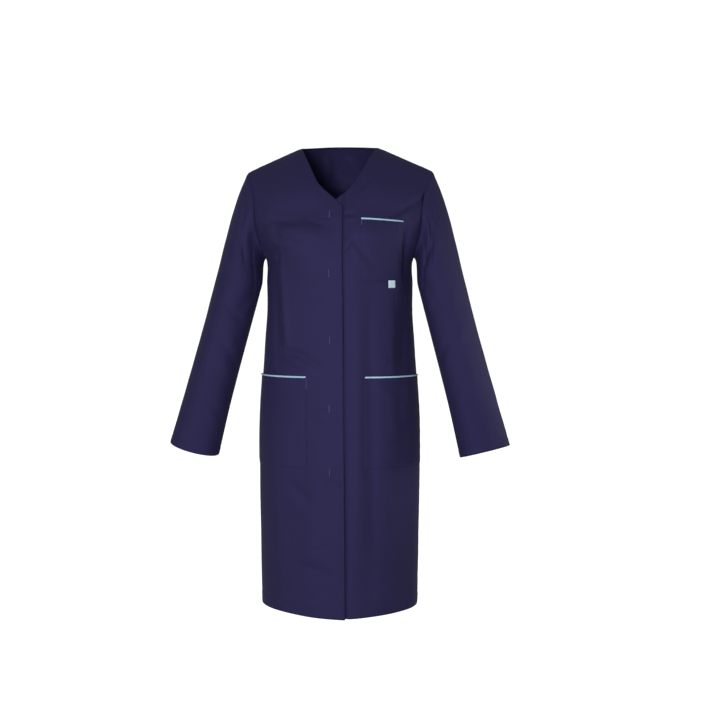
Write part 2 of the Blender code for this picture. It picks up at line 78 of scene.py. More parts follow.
# Lap of the fronts past the centre, and where the left one steps back under the right one
RIGHT_LAP_TOP = 15.0
RIGHT_LAP_HEM = 21.0
LEFT_LAP = 16.0
LAP_STEP_FROM = 22.0
LAP_STEP_TO = 36.0
NECK_COLUMN_SHARE = 0.44

SECTION_COLUMNS = ("z", "half_width", "front", "back")
SECTIONS = (
    (-980, 165.5, 119, 122),
    (-850, 168.0, 117, 124),
    (-700, 170.5, 114, 128),
    (-600, 171.0, 112, 130),
    (-530, 168.0, 110, 124),
    (-483, 164.5, 108, 114),
    (-420, 160.0, 106, 101),
    (-350, 155.5, 107, 93),
    (-290, 155.5, 110, 93),
    (-237, 157.5, 114, 99),
    (-205, 175.0, 113, 104),
    (-180, 187.0, 111, 106),
    (-150, 204.0, 109, 108),
    (-100, 223.0, 104, 109),
    (-51, 238.0, 101, 107),
    (20, 250.0, 98, 104),
)
ARMHOLE_COLUMNS = ("z", "x")
ARMHOLE = (
    (-237, 157.5),
    (-225, 161.0),
    (-205, 167.5),
    (-180, 173.0),
    (-150, 176.0),
    (-120, 178.5),
    (-100, 181.5),
    (-75, 187.5),
    (-50, 195.0),
)
NECKLINE_COLUMNS = ("x", "z")
NECKLINE = (
    (-22, -137),
    (0, -116),
    (14, -104),
    (28, -92),
    (40, -78),
    (52, -55),
    (66, -27),
    (80, 0),
)
SLEEVE_COLUMNS = ("along", "x", "y", "z", "across", "deep")
SLEEVE = (
    (0.00, 215.0, -10.0, -283.0, 49.5, 55.0),
    (0.35, 247.0, -20.0, -408.0, 49.0, 52.0),
    (0.70, 280.5, -28.0, -534.0, 50.5, 47.0),
    (1.00, 307.5, -34.0, -640.0, 54.0, 43.0),
)
# Slant of the cuffs, and how the sleeve leaves the armhole and arrives at its tube
CUFF_DROPS_FROM = 0.6
CUFF_DROP = {RIGHT: 4.0, LEFT: -4.0}
CAP_SHARE = 0.36
CAP_TOP_OUT = 0.53
CAP_TOP_DOWN = 0.85
CAP_FORWARD = 0.15
CAP_LEAVE = 0.8
CAP_ARRIVE = 0.9
UNDERARM_LEAVE = 0.5
AHEAD = 0.02
# Steps that measure the armhole, and the least distance that counts as past the neck
ARMHOLE_STEPS = 120
HAIR = 1e-4

CHEST_POCKET_X = (53.0, 139.0)
CHEST_POCKET_TOP = (-159.0, -164.0)
CHEST_POCKET_HEIGHT = 126.0
HIP_POCKET_X = 60.0
HIP_POCKET_TOP = -485.0
HIP_POCKET_HEIGHT = 185.0
PIPING_HEIGHT = 3.8
TAB_X = (107.5, 120.5)
TAB_Z = (-283.5, -298.5)

# Folds and creases: the panel or arm they are on, both ends, half width and rise. On the body the
# ends are places seen from the front, x then z.
Fold = namedtuple("Fold", ("on", "u0", "v0", "u1", "v1", "reach", "rise"))
FOLD_FADE = 0.25

# Large folds of the body, which change its depth
FOLDS = (
    (FRONT, 192, -104, 158, -142, 15, -5.0),
    (FRONT, 133, -335, 131, -470, 20, -5.5),
    (FRONT, 130, -495, 150, -590, 22, -4.5),
    (FRONT, 36, -470, 38, -850, 26, 3.0),
    (FRONT, 92, -560, 84, -940, 30, -3.5),
    (FRONT, -112, -262, -108, -415, 18, 3.0),
    (FRONT, -96, -440, -128, -456, 18, -3.0),
    (FRONT, -84, -600, -96, -950, 34, -3.0),
    (FRONT, -40, -640, -52, -950, 26, 2.5),
    (BACK, 72, -270, 76, -500, 15, -4.5),
    (BACK, -72, -270, -78, -500, 15, -4.5),
    (BACK, 0, -560, 6, -950, 34, -3.5),
    (BACK, 88, -640, 104, -950, 30, 3.5),
    (BACK, -92, -620, -100, -950, 30, 3.0),
    (BACK, 168, -190, 118, -262, 13, -4.0),
    (BACK, -168, -196, -122, -258, 13, -3.5),
)
# The same on the sleeves, in shares of the way round and along
SLEEVE_FOLDS = (
    (LEFT, 0.32, 0.08, 0.16, 0.22, 0.030, -4.0),
    (LEFT, 0.10, 0.30, 0.22, 0.46, 0.040, -3.0),
    (RIGHT, 0.34, 0.06, 0.22, 0.22, 0.030, -3.0),
    (RIGHT, 0.08, 0.34, 0.20, 0.48, 0.040, -3.0),
    (RIGHT, 0.84, 0.36, 0.72, 0.50, 0.040, -3.0),
    (LEFT, 0.86, 0.34, 0.74, 0.50, 0.040, -3.0),
)

# ---------------------------------------------------------------- what only the cloth itself shows

CLOTH = 0.9
EDGE_CLOTH = 1.6
EDGE_BAND = 7.0
HEM_DEPTH = 22.0
CUFF_HEM_DEPTH = 17.0
HEM_FULL = 0.25
HEM_STEP = 1.5

FRONT_COLUMNS, FRONT_ROWS = 104, 330
BACK_COLUMNS, BACK_ROWS = 150, 300
SLEEVE_ROUND, SLEEVE_ROWS = 120, 200
POCKET_COLUMNS, POCKET_ROWS = 56, 72
PIPING_ROWS, PIPING_ROUND = 90, 16
TAB_COLUMNS, TAB_ROWS = 24, 28

# Fine creases of the body, which move its cloth along its normals
CREASES = (
    # neck and shoulders
    (FRONT, 84, -48, 54, -92, 6, -2.2),
    (FRONT, 186, -108, 120, -150, 7, -3.8),
    (FRONT, 170, -118, 128, -158, 6, 2.2),
    # over the bust: a hollow above, then the ridge where the cloth leaves it
    (FRONT, -24, -142, -124, -146, 27, -4.8),
    (FRONT, 44, -134, 128, -140, 20, -2.4),
    (FRONT, -26, -186, -142, -194, 19, 4.6),
    (FRONT, 36, -182, 142, -188, 18, 3.2),
    (FRONT, -70, -174, -146, -178, 8, 2.2),
    (FRONT, -138, -156, -84, -164, 8, -1.6),
    (FRONT, -56, -160, -24, -170, 7, -1.4),
    (FRONT, -152, -178, -84, -204, 9, -1.6),
    (FRONT, -148, -196, -92, -216, 10, 1.3),
    (FRONT, -84, -206, -46, -216, 8, -0.8),
    # from the underarms inwards and down
    (FRONT, -146, -178, -120, -206, 6, 1.8),
    (FRONT, -128, -172, -118, -206, 11, -2.4),
    (FRONT, -121, -226, -121, -246, 5, -2.6),
    (FRONT, 130, -176, 124, -262, 6, 1.4),
    (FRONT, 119, -211, 134, -250, 3.5, -1.6),
    (FRONT, 126, -208, 142, -246, 5, 1.0),
    (FRONT, 148, -180, 141, -262, 5, -3.6),
    (FRONT, 147, -168, 145, -300, 10, -4.4),
    # right of the closing edge
    (FRONT, 18, -147, 40, -146, 3.5, -1.6),
    (FRONT, 20, -158, 44, -157, 4, 1.2),
    (FRONT, 18, -226, 38, -199, 3, -1.6),
    (FRONT, 20, -196, 66, -262, 9, 2.0),
    (FRONT, 36, -200, 84, -256, 8, -1.4),
    # front darts and sides of the waist
    (FRONT, -121, -252, -114, -430, 2.0, -0.7),
    (FRONT, 124, -262, 118, -440, 2.0, -0.6),
    (FRONT, -116, -236, -102, -425, 8, 3.2),
    (FRONT, -134, -250, -122, -430, 9, -3.0),
    (FRONT, -134, -250, -130, -330, 6, 0.9),
    (FRONT, 119, -344, 116, -466, 6, 1.8),
    (FRONT, 112, -300, 108, -430, 8, 1.1),
    (FRONT, 144, -330, 138, -470, 12, -4.4),
    # above the hip pockets
    (FRONT, -104, -430, -60, -442, 8, -3.6),
    (FRONT, -104, -448, -58, -462, 7, 2.6),
    (FRONT, -64, -446, -26, -464, 8, -2.2),
    (FRONT, -70, -447, -110, -438, 7, 1.0),
    (FRONT, -140, -432, -120, -466, 6, -1.0),
    (FRONT, 96, -446, 122, -470, 7, 1.2),
    # down the skirt
    (FRONT, 48, -340, 50, -890, 11, 2.6),
    (FRONT, 72, -340, 76, -860, 12, -3.0),
    (FRONT, 94, -560, 88, -940, 26, 3.2),
    (FRONT, 138, -560, 138, -940, 18, -3.4),
    (FRONT, 62, -700, 70, -880, 12, 1.3),
    (FRONT, -122, -690, -118, -930, 14, 1.4),
    (FRONT, 147, -500, 140, -570, 8, 1.6),
    (FRONT, 112, -520, 124, -610, 9, 1.2),
    # across the skirt
    (FRONT, 84, -500, 120, -528, 9, 1.4),
    (FRONT, -60, -560, -26, -590, 9, -1.2),
    (FRONT, 96, -640, 140, -690, 11, -1.3),
    (FRONT, -34, -688, 14, -714, 8, -2.0),
    (FRONT, -95, -702, -50, -740, 11, -2.6),
    (FRONT, -98, -730, -60, -764, 12, 1.6),
    (FRONT, -60, -730, -104, -800, 12, -1.2),
    (FRONT, -30, -800, -70, -880, 10, 1.0),
    (FRONT, -8, -820, -44, -842, 6, -0.9),
    (FRONT, -70, -840, -10, -862, 12, 1.4),
    (FRONT, -80, -866, -6, -890, 10, -2.4),
    (FRONT, 40, -880, 84, -930, 10, -1.1),
    (FRONT, -18, -900, -60, -945, 9, -1.0),
    # back: inside the neck, shoulders, underarms
    (BACK, -34, -10, -31, -58, 7, -2.6),
    (BACK, -18, -30, 8, -66, 9, 2.4),
    (BACK, 12, -12, 24, -46, 8, -2.0),
    (BACK, -30, -76, 28, -88, 9, -2.4),
    (BACK, -62, -44, -118, -120, 13, -1.6),
    (BACK, 60, -50, 124, -112, 13, -1.4),
    (BACK, -150, -150, -108, -226, 8, -1.8),
    (BACK, 152, -146, 104, -220, 8, -2.0),
    # back: darts, waist and skirt
    (BACK, -74, -262, -77, -510, 2.2, -0.8),
    (BACK, 71, -262, 76, -510, 2.2, -0.8),
    (BACK, -20, -372, 44, -384, 9, -1.8),
    (BACK, 30, -402, -52, -414, 10, 1.3),
    (BACK, -110, -388, -60, -398, 8, -1.4),
    (BACK, 112, -378, 66, -396, 8, -1.5),
    (BACK, 40, -640, 52, -930, 14, 1.8),
    (BACK, -44, -600, -38, -940, 16, -1.6),
    (BACK, 132, -620, 140, -900, 13, -1.8),
    (BACK, -138, -640, -132, -930, 12, 1.6),
)
# Fine creases of the sleeves in mm: round from the underarm over the front, and down the sleeve
SLEEVE_CREASES = (
    (LEFT, 118, 18, 72, 84, 6, -2.0),
    (LEFT, 132, 30, 90, 96, 7, 1.4),
    (LEFT, 66, 26, 34, 92, 5, -2.2),
    (LEFT, 44, 150, 96, 196, 9, -1.4),
    (LEFT, 30, 236, 92, 262, 10, -1.8),
    (LEFT, 40, 262, 100, 292, 10, 1.2),
    (LEFT, 28, 330, 84, 352, 9, -1.1),
    (LEFT, 60, 430, 104, 462, 12, -0.9),
    (LEFT, 250, 230, 196, 262, 10, -1.7),
    (LEFT, 262, 268, 206, 300, 9, 1.2),
    (LEFT, 284, 60, 236, 118, 8, -1.6),
    (RIGHT, 112, 22, 70, 88, 6, -1.6),
    (RIGHT, 60, 30, 30, 100, 5, -2.0),
    (RIGHT, 36, 170, 92, 214, 10, -1.4),
    (RIGHT, 28, 250, 88, 276, 9, -1.6),
    (RIGHT, 44, 288, 104, 318, 11, 1.1),
    (RIGHT, 26, 372, 86, 396, 10, -1.0),
    (RIGHT, 252, 238, 200, 268, 10, -1.6),
    (RIGHT, 264, 276, 210, 306, 9, 1.2),
    (RIGHT, 286, 64, 240, 124, 8, -1.5),
)

# Slow unevenness of the cloth: rise and length of its waves, and where it starts on a sleeve
FRONT_WAVES = (0.45, 150)
BACK_WAVES = (0.5, 160)
SLEEVE_WAVES = (0.4, 110)
SLEEVE_WAVES_OFF_SEAM = 20.0

# Relief along a seam, an edge or a stitch line: distance from it, reach to both sides, and rise
Line = namedtuple("Line", ("at", "reach", "rise"))
STITCH_INSET = 2.2
MOUTH_INSET = 3.0
TAB_INSET = 1.4
LINES = {
    "front_neck": (Line(4, 3, 0.35), Line(0, 1.2, -0.4)),
    "back_neck": (Line(4, 3, 0.3), Line(0, 1.2, -0.4)),
    "closing_edge": (Line(3, 3, 0.5), Line(0, 1.2, -0.4)),
    "beside_closing": (Line(1.6, 2.2, -2.6),),
    "hem_stitches": (Line(0, 1.3, -0.4),),
    "hem_edge": (Line(0, 1, -0.3),),
    "sleeve_seam": (Line(0, 2.2, -0.9),),
    "sleeve_head": (Line(9, 7, 1.3),),
    "pocket_stitches": (Line(STITCH_INSET, 1, -0.2),),
    "pocket_mouth": (Line(MOUTH_INSET, 1.2, -0.3),),
    "tab_edge": (Line(TAB_INSET, 0.5, -0.25), Line(0, 0.5, -0.35)),
}
# Puckers along such a line: distance from it, reach, rise, and length of a ripple over two pi
Pucker = namedtuple("Pucker", ("at", "reach", "rise", "length"))
HEM_PUCKER = Pucker(0, 8, 0.16, 5.2)
HEAD_PUCKER = Pucker(9, 8, 0.35, 5.5)
POCKET_PUCKER = Pucker(5, 4, 0.16, 4.4)
SEAM_PUCKER = Pucker(0, 8, 0.32, 4.6)
# Seams sink in a bell curve and are calm close by. The armhole's sinks less, from a share of the
# way up it. The shoulder seam starts at the side neck, and the fuller sleeve head above the chest.
SEAM_SINK = 1.2
SEAM_REACH = 2.2
SEAM_CALM = 3.0
ARMHOLE_SINK = 0.7
ARMHOLE_SINK_BY = 0.1
SHOULDER_BLEND = 0.02
SLEEVE_HEAD_FROM = 0.15

# The closing: below the hips the right edge lifts off and the left front gives way under it, and
# at one height the right edge lifts once more
LAP_LIFT = 1.6
LAP_LIFT_REACH = {RIGHT: 16.0, LEFT: 26.0}
LAP_LIFT_FROM_Z = -480.0
LAP_LIFT_OVER = 260.0
EDGE_LIFT = 2.0
EDGE_LIFT_REACH = 9.0
EDGE_LIFT_Z = -836.0
EDGE_LIFT_HEIGHT = 48.0

# Bar tacks of the hidden closing: distance from the centre and height of their middles
TACKS = ((-12.0, -147.0), (-12.5, -269.0), (-11.5, -407.0), (-12.0, -547.0), (-11.0, -677.0))
TACK_LENGTH = 15.0
TACK_POINTS = 9
TACK_WIDTH = 1.6
TACK_PITCH = 0.62
TACK_RADIUS = 0.36
TACK_LIFT = 0.3
# Tacks at the start of a pocket's mouth: the pocket's cloth and their length down its edge
CORNER_TACKS = (("chest_pocket_cloth", 13.0), ("hip_pocket_right_cloth", 24.0))
CORNER_TACK_INSET = 1.2
# The cloth stands up round a tack and creases run from it: steps from the tack, rise, and by how
# much the far end differs from tack to tack
TACK_FULL, TACK_FULL_X, TACK_FULL_Z = 0.5, 5, 11
TackCrease = namedtuple("TackCrease", ("x0", "z0", "x1", "z1", "rise", "vary_x", "vary_z"))
TACK_CREASES = ((-3, -4, -24, -12, -0.7, 3, 4), (3, 2, 20, 9, -0.5, 0, 0))
TACK_CREASE_REACH = 3.0

# Stitches: length, gap to the next and half width. Their profile is place along one and width,
# both as shares, and they arch out of the cloth and sink in at their ends by shares of the width.
Stitch = namedtuple("Stitch", ("length", "gap", "radius"))
TOPSTITCH = Stitch(2.7, 0.8, 0.24)
TAB_STITCH = Stitch(1.1, 0.5, 0.14)
STITCH_PROFILE = np.array([(-1, 0.12), (-0.72, 0.85), (0, 1), (0.72, 0.85), (1, 0.12)])
STITCH_SIDES = 6
STITCH_ARCH = 0.75
STITCH_SUNK = 0.25

# Pockets: how far they stand off the front where sewn, in the middle and at the open mouth, and
# how thin their cloth is pressed at the sewn edges
POCKET_SEWN = 0.25
POCKET_FULL = 0.5
POCKET_FULL_FROM, POCKET_FULL_OVER = 1.0, 9.0
POCKET_THIN = 0.45
POCKET_THIN_BAND = 8.0
POCKET_MOUTH = 2.0
MOUTH_DEPTH = 16.0
# Piping: its section, how it sits on the pocket's edge, and its rounded ends
PIPING_THICKNESS = 2.6
PIPING_TAPER = 0.3
PIPING_UP = 0.2
PIPING_SINK = 0.3
PIPING_TRIM = 0.1
PIPING_END = 1.6
PIPING_TIP = 0.01
PIPING_UNEVEN, PIPING_UNEVEN_LENGTH = 0.05, 7.0
PIPING_SQUARENESS = 0.8
PIPING_GIRTH = 2.6 * PIPING_HEIGHT
# Woven tab: its own cloth, and how far it stands off the pocket
TAB_CLOTH = 0.8
TAB_GAP = 0.5


def columns(table, names, name):
    """One named column of a table, as an array."""
    return np.array([row[names.index(name)] for row in table], float)


def through(x, knots, values):
    """Smooth curve through a table: cubic pieces whose slopes follow the neighbouring rows."""
    x = np.clip(x, knots[0], knots[-1])
    slopes = np.gradient(values, knots)
    i = np.clip(np.searchsorted(knots, x) - 1, 0, len(knots) - 2)
    step = knots[i + 1] - knots[i]
    t = (x - knots[i]) / step
    rise = values[i] * (1 + 2 * t) * (1 - t) ** 2 + values[i + 1] * (3 - 2 * t) * t**2
    return rise + step * (slopes[i] * t * (1 - t) ** 2 - slopes[i + 1] * (1 - t) * t**2)


def curve(table, names, name, at):
    """A named column of a table, as a smooth curve over its first column."""
    return through(at, columns(table, names, names[0]), columns(table, names, name))


def section(z, name):
    """A named size of the body form at height z."""
    return curve(SECTIONS, SECTION_COLUMNS, name, z)


def armhole_x(z):
    """Distance of the armhole seam from the centre at height z."""
    return curve(ARMHOLE, ARMHOLE_COLUMNS, "x", z)


def neckline_z(x):
    """Height of the front neckline at distance x from the centre."""
    return curve(NECKLINE, NECKLINE_COLUMNS, "z", x)


def shoulder_z(x):
    """Height of the shoulder line: level across the neck, then falling at the shoulder slope."""
    past = np.abs(x) - NECK_HALF_WIDTH
    eased = (past + np.sqrt(past**2 + NECK_CORNER**2)) / 2
    return SHOULDER_SLOPE * (NECK_CORNER / 2 - eased)


def smooth_step(t):
    """Rises from 0 to 1 while t goes from 0 to 1, level at both ends."""
    t = np.clip(t, 0, 1)
    return t * t * (3 - 2 * t)


def line_fold(u, v, start, end, reach, rise):
    """A soft ridge or trough along a straight line, which fades out past both of its ends."""
    run_u, run_v = end[0] - start[0], end[1] - start[1]
    length = math.hypot(run_u, run_v)
    along = ((u - start[0]) * run_u + (v - start[1]) * run_v) / length**2
    off = ((u - start[0]) * run_v - (v - start[1]) * run_u) / length
    begins = smooth_step((along + FOLD_FADE) / (2 * FOLD_FADE))
    stops = smooth_step((1 + FOLD_FADE - along) / (2 * FOLD_FADE))
    return rise * np.exp(-((off / reach) ** 2)) * begins * stops


def folds_of(table, on, u, v):
    """Sum of the folds of a table that are on one panel or arm."""
    total = np.zeros(np.broadcast(u, v).shape)
    for fold in map(Fold._make, table):
        if fold.on == on:
            start, end = (fold.u0, fold.v0), (fold.u1, fold.v1)
            total = total + line_fold(u, v, start, end, fold.reach, fold.rise)
    return total


def form_depth(side, x, z):
    """Depth of the body: a superellipse section, rolled over to nothing at the shoulder line."""
    across = np.minimum(np.abs(x) / section(z, "half_width"), 1)
    crest = shoulder_z(x)
    if side == FRONT:
        roundness = FRONT_ROUNDNESS
        bust_x = (np.abs(x) - BUST_X) / BUST_REACH_X
        bust_z = (z - BUST_Z) / BUST_REACH_Z
        depth = section(z, "front") + BUST_FULLNESS * np.exp(-(bust_x**2) - bust_z**2)
    else:
        roundness = BACK_ROUNDNESS
        depth = section(z, "back")
        inside = np.clip(1 - (x / NECK_HALF_WIDTH) ** 2, 0, 1)
        crest = crest + NAPE_RISE * inside**NAPE_ROUNDNESS
    round_off = (1 - across**roundness) ** (1 / roundness)
    down = np.clip((crest - z) / ROLL_REACH, 0, 1)
    roll = (1 - (1 - down) ** ROLL_TURN) ** ROLL_SOFTNESS
    return (depth + folds_of(FOLDS, side, x, z)) * round_off * roll


def form_point(side, x, z):
    """Point of the body form, from its place seen from the front."""
    x, z = np.broadcast_arrays(x, z)
    return np.stack([x, side * form_depth(side, x, z), z], axis=-1)


def lap_drop(x):
    """How far the left front lies under the right one, near the closing."""
    near = 1 - smooth_step((x - LAP_STEP_FROM) / (LAP_STEP_TO - LAP_STEP_FROM))
    return (WALL + LAP_GAP) * near


def armhole_height(level):
    """Height of the armhole seam at a share of the way from the underarm to the shoulder tip."""
    eased = (1 - np.cos(math.pi * level)) / 2
    return UNDERARM_Z + (shoulder_z(SHOULDER_HALF_WIDTH) - UNDERARM_Z) * eased


def panel_place(c, level, lap, side):
    """Place seen from the front of a panel's point, x on the panel's own side.

    c runs from the centre edge (0) to the side seam and armhole (1). level runs from the hem
    (-1) over the underarm (0) to the neckline and shoulder seam (1).
    """
    v = np.clip(level, 0, 1)
    down = np.clip(-level, 0, 1)
    eased = (1 - np.cos(math.pi * v)) / 2
    width = SHOULDER_HALF_WIDTH + lap(1)
    neck = (NECK_HALF_WIDTH + lap(1)) / width
    low = np.sin(math.pi / 2 * c) ** (2 / FRONT_ROUNDNESS)
    top = np.interp(c, [0, NECK_COLUMN_SHARE, 1], [0, neck, 1])
    share = low + (top - low) * eased
    top_x = width * top - lap(1)
    if side == FRONT:
        neck_z = neckline_z(top_x)
    else:
        neck_z = NAPE_HEIGHT * (1 - (top_x / NECK_HALF_WIDTH) ** 2)
    top_z = np.where(top_x < NECK_HALF_WIDTH - HAIR, neck_z, shoulder_z(top_x))
    hem_z = HEM_Z - HEM_FRONT_DROP * (1 - smooth_step(share)) * (side == FRONT)
    z = UNDERARM_Z + (top_z - UNDERARM_Z) * eased + (hem_z - UNDERARM_Z) * down
    edge = np.where(level > 0, armhole_x(armhole_height(v)), section(z, "half_width"))
    overlap = lap(level)
    return (edge + overlap) * share - overlap, z


def right_lap(level):
    """How far the right front reaches past the centre: more at the hem than at the neck."""
    return RIGHT_LAP_TOP + (RIGHT_LAP_HEM - RIGHT_LAP_TOP) * np.clip(-level, 0, 1)


def left_lap(level):
    """How far the left front reaches past the centre, the same all the way down."""
    return LEFT_LAP + 0 * level


def no_lap(level):
    """The back has no edge past its centre."""
    return 0 * level


def unit(vectors):
    """Vectors of length one."""
    return vectors / np.linalg.norm(vectors, axis=-1, keepdims=True)


def armhole_point(arm, round_share):
    """Point of the armhole seam: round_share 0 at the underarm, 0.5 at the shoulder tip."""
    level = 1 - np.abs(1 - 2 * np.mod(round_share, 1))
    z = armhole_height(level)
    x = arm * armhole_x(z)
    front = form_point(FRONT, x, z)
    back = form_point(BACK, x, z)
    return np.where((np.mod(round_share, 1) < 0.5)[..., None], front, back)


def armhole_turn(arm, round_share):
    """Angle round the sleeve for a point of the armhole, by its share of the seam's length."""
    fine = np.linspace(0, 1, 2 * ARMHOLE_STEPS + 1)
    steps = np.linalg.norm(np.diff(armhole_point(arm, fine), axis=0), axis=1)
    length = np.concatenate([[0], np.cumsum(steps)])
    front = length[ARMHOLE_STEPS]
    behind = length[-1] - front
    turn = math.pi * np.where(fine <= 0.5, length / front, 1 + (length - front) / behind)
    return np.interp(np.mod(round_share, 1), fine, turn)


def sleeve_leave(arm, turn):
    """Direction in which the sleeve leaves the armhole: level at the underarm, down at the tip."""
    up = (1 - np.cos(turn)) / 2
    out = 1 + (CAP_TOP_OUT - 1) * up
    down = CAP_TOP_DOWN * np.sqrt(up)
    return unit(np.stack([arm * out, -CAP_FORWARD * np.sin(turn), -down], axis=-1))


def tube_point(arm, turn, along):
    """Point of the sleeve's tube: an ellipse square to its middle line, at a share of its run."""
    x, y, z, across, deep = (
        curve(SLEEVE, SLEEVE_COLUMNS, name, along) for name in SLEEVE_COLUMNS[1:]
    )
    run = SLEEVE[-1][1] - SLEEVE[0][1]
    fall = SLEEVE[0][3] - SLEEVE[-1][3]
    slant = math.atan2(run, fall)
    inward = across * np.cos(turn)
    forward = deep * np.sin(turn)
    share = smooth_step((along - CUFF_DROPS_FROM) / (1 - CUFF_DROPS_FROM))
    drop = CUFF_DROP[arm] * np.sin(turn) * share
    place_x = x - inward * math.cos(slant)
    place_z = z - inward * math.sin(slant) - drop
    return np.stack([arm * place_x, y - forward, place_z], axis=-1)


def smooth_sleeve(arm, round_share, along):
    """Sleeve without folds: Hermite curves from the armhole to the upper arm, then the tube."""
    turn = armhole_turn(arm, round_share)
    start = armhole_point(arm, round_share)
    end = tube_point(arm, turn, np.zeros_like(turn))
    reach = np.linalg.norm(end - start, axis=-1, keepdims=True)
    low = ((1 + np.cos(turn)) / 2)[..., None]
    leave = (CAP_LEAVE + (UNDERARM_LEAVE - CAP_LEAVE) * low) * reach * sleeve_leave(arm, turn)
    ahead = tube_point(arm, turn, np.full_like(turn, AHEAD)) - end
    arrive = CAP_ARRIVE * reach * unit(ahead)
    t = np.clip(along / CAP_SHARE, 0, 1)[..., None]
    cap = start * (1 + 2 * t) * (1 - t) ** 2 + end * (3 - 2 * t) * t**2
    cap = cap + leave * t * (1 - t) ** 2 - arrive * (1 - t) * t**2
    tube = tube_point(arm, turn, np.clip((along - CAP_SHARE) / (1 - CAP_SHARE), 0, 1))
    return np.where((along < CAP_SHARE)[..., None], cap, tube)


# ---------------------------------------------------------------- cloth: grids, relief and shells

Grid = namedtuple("Grid", ("points", "normals", "across", "up"))
GRIDS = {}


def grid_normals(points, closed=False):
    """Unit normals of a grid of points, from the differences between its neighbours."""
    if closed:
        around = np.concatenate([points[:, -2:-1], points, points[:, 1:2]], axis=1)
        across = (around[:, 2:] - around[:, :-2]) / 2
    else:
        across = np.gradient(points, axis=1)
    return unit(np.cross(across, np.gradient(points, axis=0)))


def arcs(points, axis):
    """Length run along a grid of points, from its first row or column."""
    steps = np.linalg.norm(np.diff(points, axis=axis), axis=-1)
    first = np.zeros_like(np.take(steps, [0], axis=axis))
    return np.concatenate([first, np.cumsum(steps, axis=axis)], axis=axis)


def to_end(length, axis):
    """What is left to run to the last row or column."""
    return np.take(length, [-1], axis=axis) - length


def near(distance, reach):
    """1 at the line and 0 well away from it, as a bell curve."""
    return np.exp(-((distance / reach) ** 2))


def uneven(s, seed):
    """Uneven ripple between about -1 and 1: three sines of unlike lengths, shifted by the seed.

    A seed is any number. Each seam and hem has its own, so that no two pucker alike.
    """
    waves = ((1.0, 0.5), (1.618, 0.3), (2.732, 0.2))
    return sum(share * np.sin(rate * s + 2.4 * seed * rate) for rate, share in waves)


def wander(u, v, waves, seed):
    """Slow unevenness of a surface: five sines of unlike lengths and directions, averaged."""
    rise, length = waves
    total = 0
    for i in range(5):
        angle = 0.6 + 1.26 * i + 0.37 * seed
        run = (u * math.cos(angle) + v * math.sin(angle)) * 2 * math.pi / length
        total = total + np.sin(run * (1 + 0.23 * i) + 1.7 * seed + i)
    return rise * (total / 5)


def lines_of(name, distance):
    """Relief along a line: each of its named bell curves, at its own distance from the line."""
    return sum(line.rise * near(distance - line.at, line.reach) for line in LINES[name])


def puckers(size, distance, run, seed):
    """Puckers along a line: an uneven ripple along it, under a bell curve across it."""
    return size.rise * uneven(run / size.length, seed) * near(distance - size.at, size.reach)


def grid_faces(index):
    """Four-sided faces of a grid of point numbers, all turned the same way."""
    corners = index[:-1, :-1], index[:-1, 1:], index[1:, 1:], index[1:, :-1]
    return np.stack(corners, axis=-1).reshape(-1, 4)


def rims(index, outer, closed):
    """Loops of point numbers round the open edges of a grid, each with the ways out past them."""
    if closed:
        top = (index[0], outer[0] - outer[1])
        foot = (index[-1, ::-1], (outer[-1] - outer[-2])[::-1])
        return [top, foot]
    loop = np.concatenate([index[0], index[1:, -1], index[-1, -2::-1], index[-2::-1, 0]])
    out = np.zeros_like(outer)
    out[0] += unit(outer[0] - outer[1])
    out[-1] += unit(outer[-1] - outer[-2])
    out[:, 0] += unit(outer[:, 0] - outer[:, 1])
    out[:, -1] += unit(outer[:, -1] - outer[:, -2])
    return [(loop, out.reshape(-1, 3)[loop])]


def faces_outwards(points, faces):
    """The faces of a closed mesh, turned round if the volume that they hold is negative."""
    corners = points[faces]
    volume = np.sum(np.cross(corners[:, 0], corners[:, 1]) * corners[:, 2])
    volume += np.sum(np.cross(corners[:, 0], corners[:, 2]) * corners[:, 3])
    return faces[:, ::-1] if volume < 0 else faces


def cloth_shell(name, outer, normals, wall, material, uv, closed=False):
    """Closed cloth wall under a grid of outer points, with rims rounded by a row halfway through.

    normals point outwards, wall is the thickness at each point, and closed joins the first and
    last columns, which then hold the same points.
    """
    inner = outer - wall[..., None] * normals
    count = wall.size
    index = np.arange(count).reshape(wall.shape)
    if closed:
        index[:, -1] = index[:, 0]
    outside = grid_faces(index)
    faces = [outside, outside[:, ::-1] + count]
    points = [outer.reshape(-1, 3), inner.reshape(-1, 3)]
    places = [uv.reshape(-1, 2)] * 2
    halfway, half_wall = (points[0] + points[1]) / 2, wall.reshape(-1, 1) / 2
    start = 2 * count
    for loop, way in rims(index, outer, closed):
        middle = halfway[loop] + unit(way) * half_wall[loop]
        mid = start + np.arange(len(loop))
        mid[-1] = mid[0]
        faces.append(np.stack([mid[:-1], mid[1:], loop[1:], loop[:-1]], axis=-1))
        faces.append(np.stack([loop[:-1] + count, loop[1:] + count, mid[1:], mid[:-1]], axis=-1))
        points.append(middle[:-1])
        places.append(places[0][loop[:-1]])
        start += len(loop) - 1
    points, places, faces = (np.concatenate(part) for part in (points, places, faces))
    faces = faces_outwards(points, faces)
    used = np.zeros(len(points), bool)
    used[faces] = True
    renumber = np.cumsum(used) - 1
    return make_mesh(name, points[used], renumber[faces], material, places[used])


def make_mesh(name, points, faces, material, places):
    """Mesh object from points in mm, faces and a place on the cut for each point, in mm."""
    mesh = bpy.data.meshes.new(name)
    mesh.from_pydata((points * MM).tolist(), [], [list(face) for face in faces])
    mesh.shade_smooth()
    mesh.materials.append(material)
    layer = mesh.uv_layers.new(name="cut")
    loops = np.empty(len(mesh.loops), int)
    mesh.loops.foreach_get("vertex_index", loops)
    layer.data.foreach_set("uv", (places[loops] * MM).ravel())
    piece = bpy.data.objects.new(name, mesh)
    bpy.context.scene.collection.objects.link(piece)
    return piece


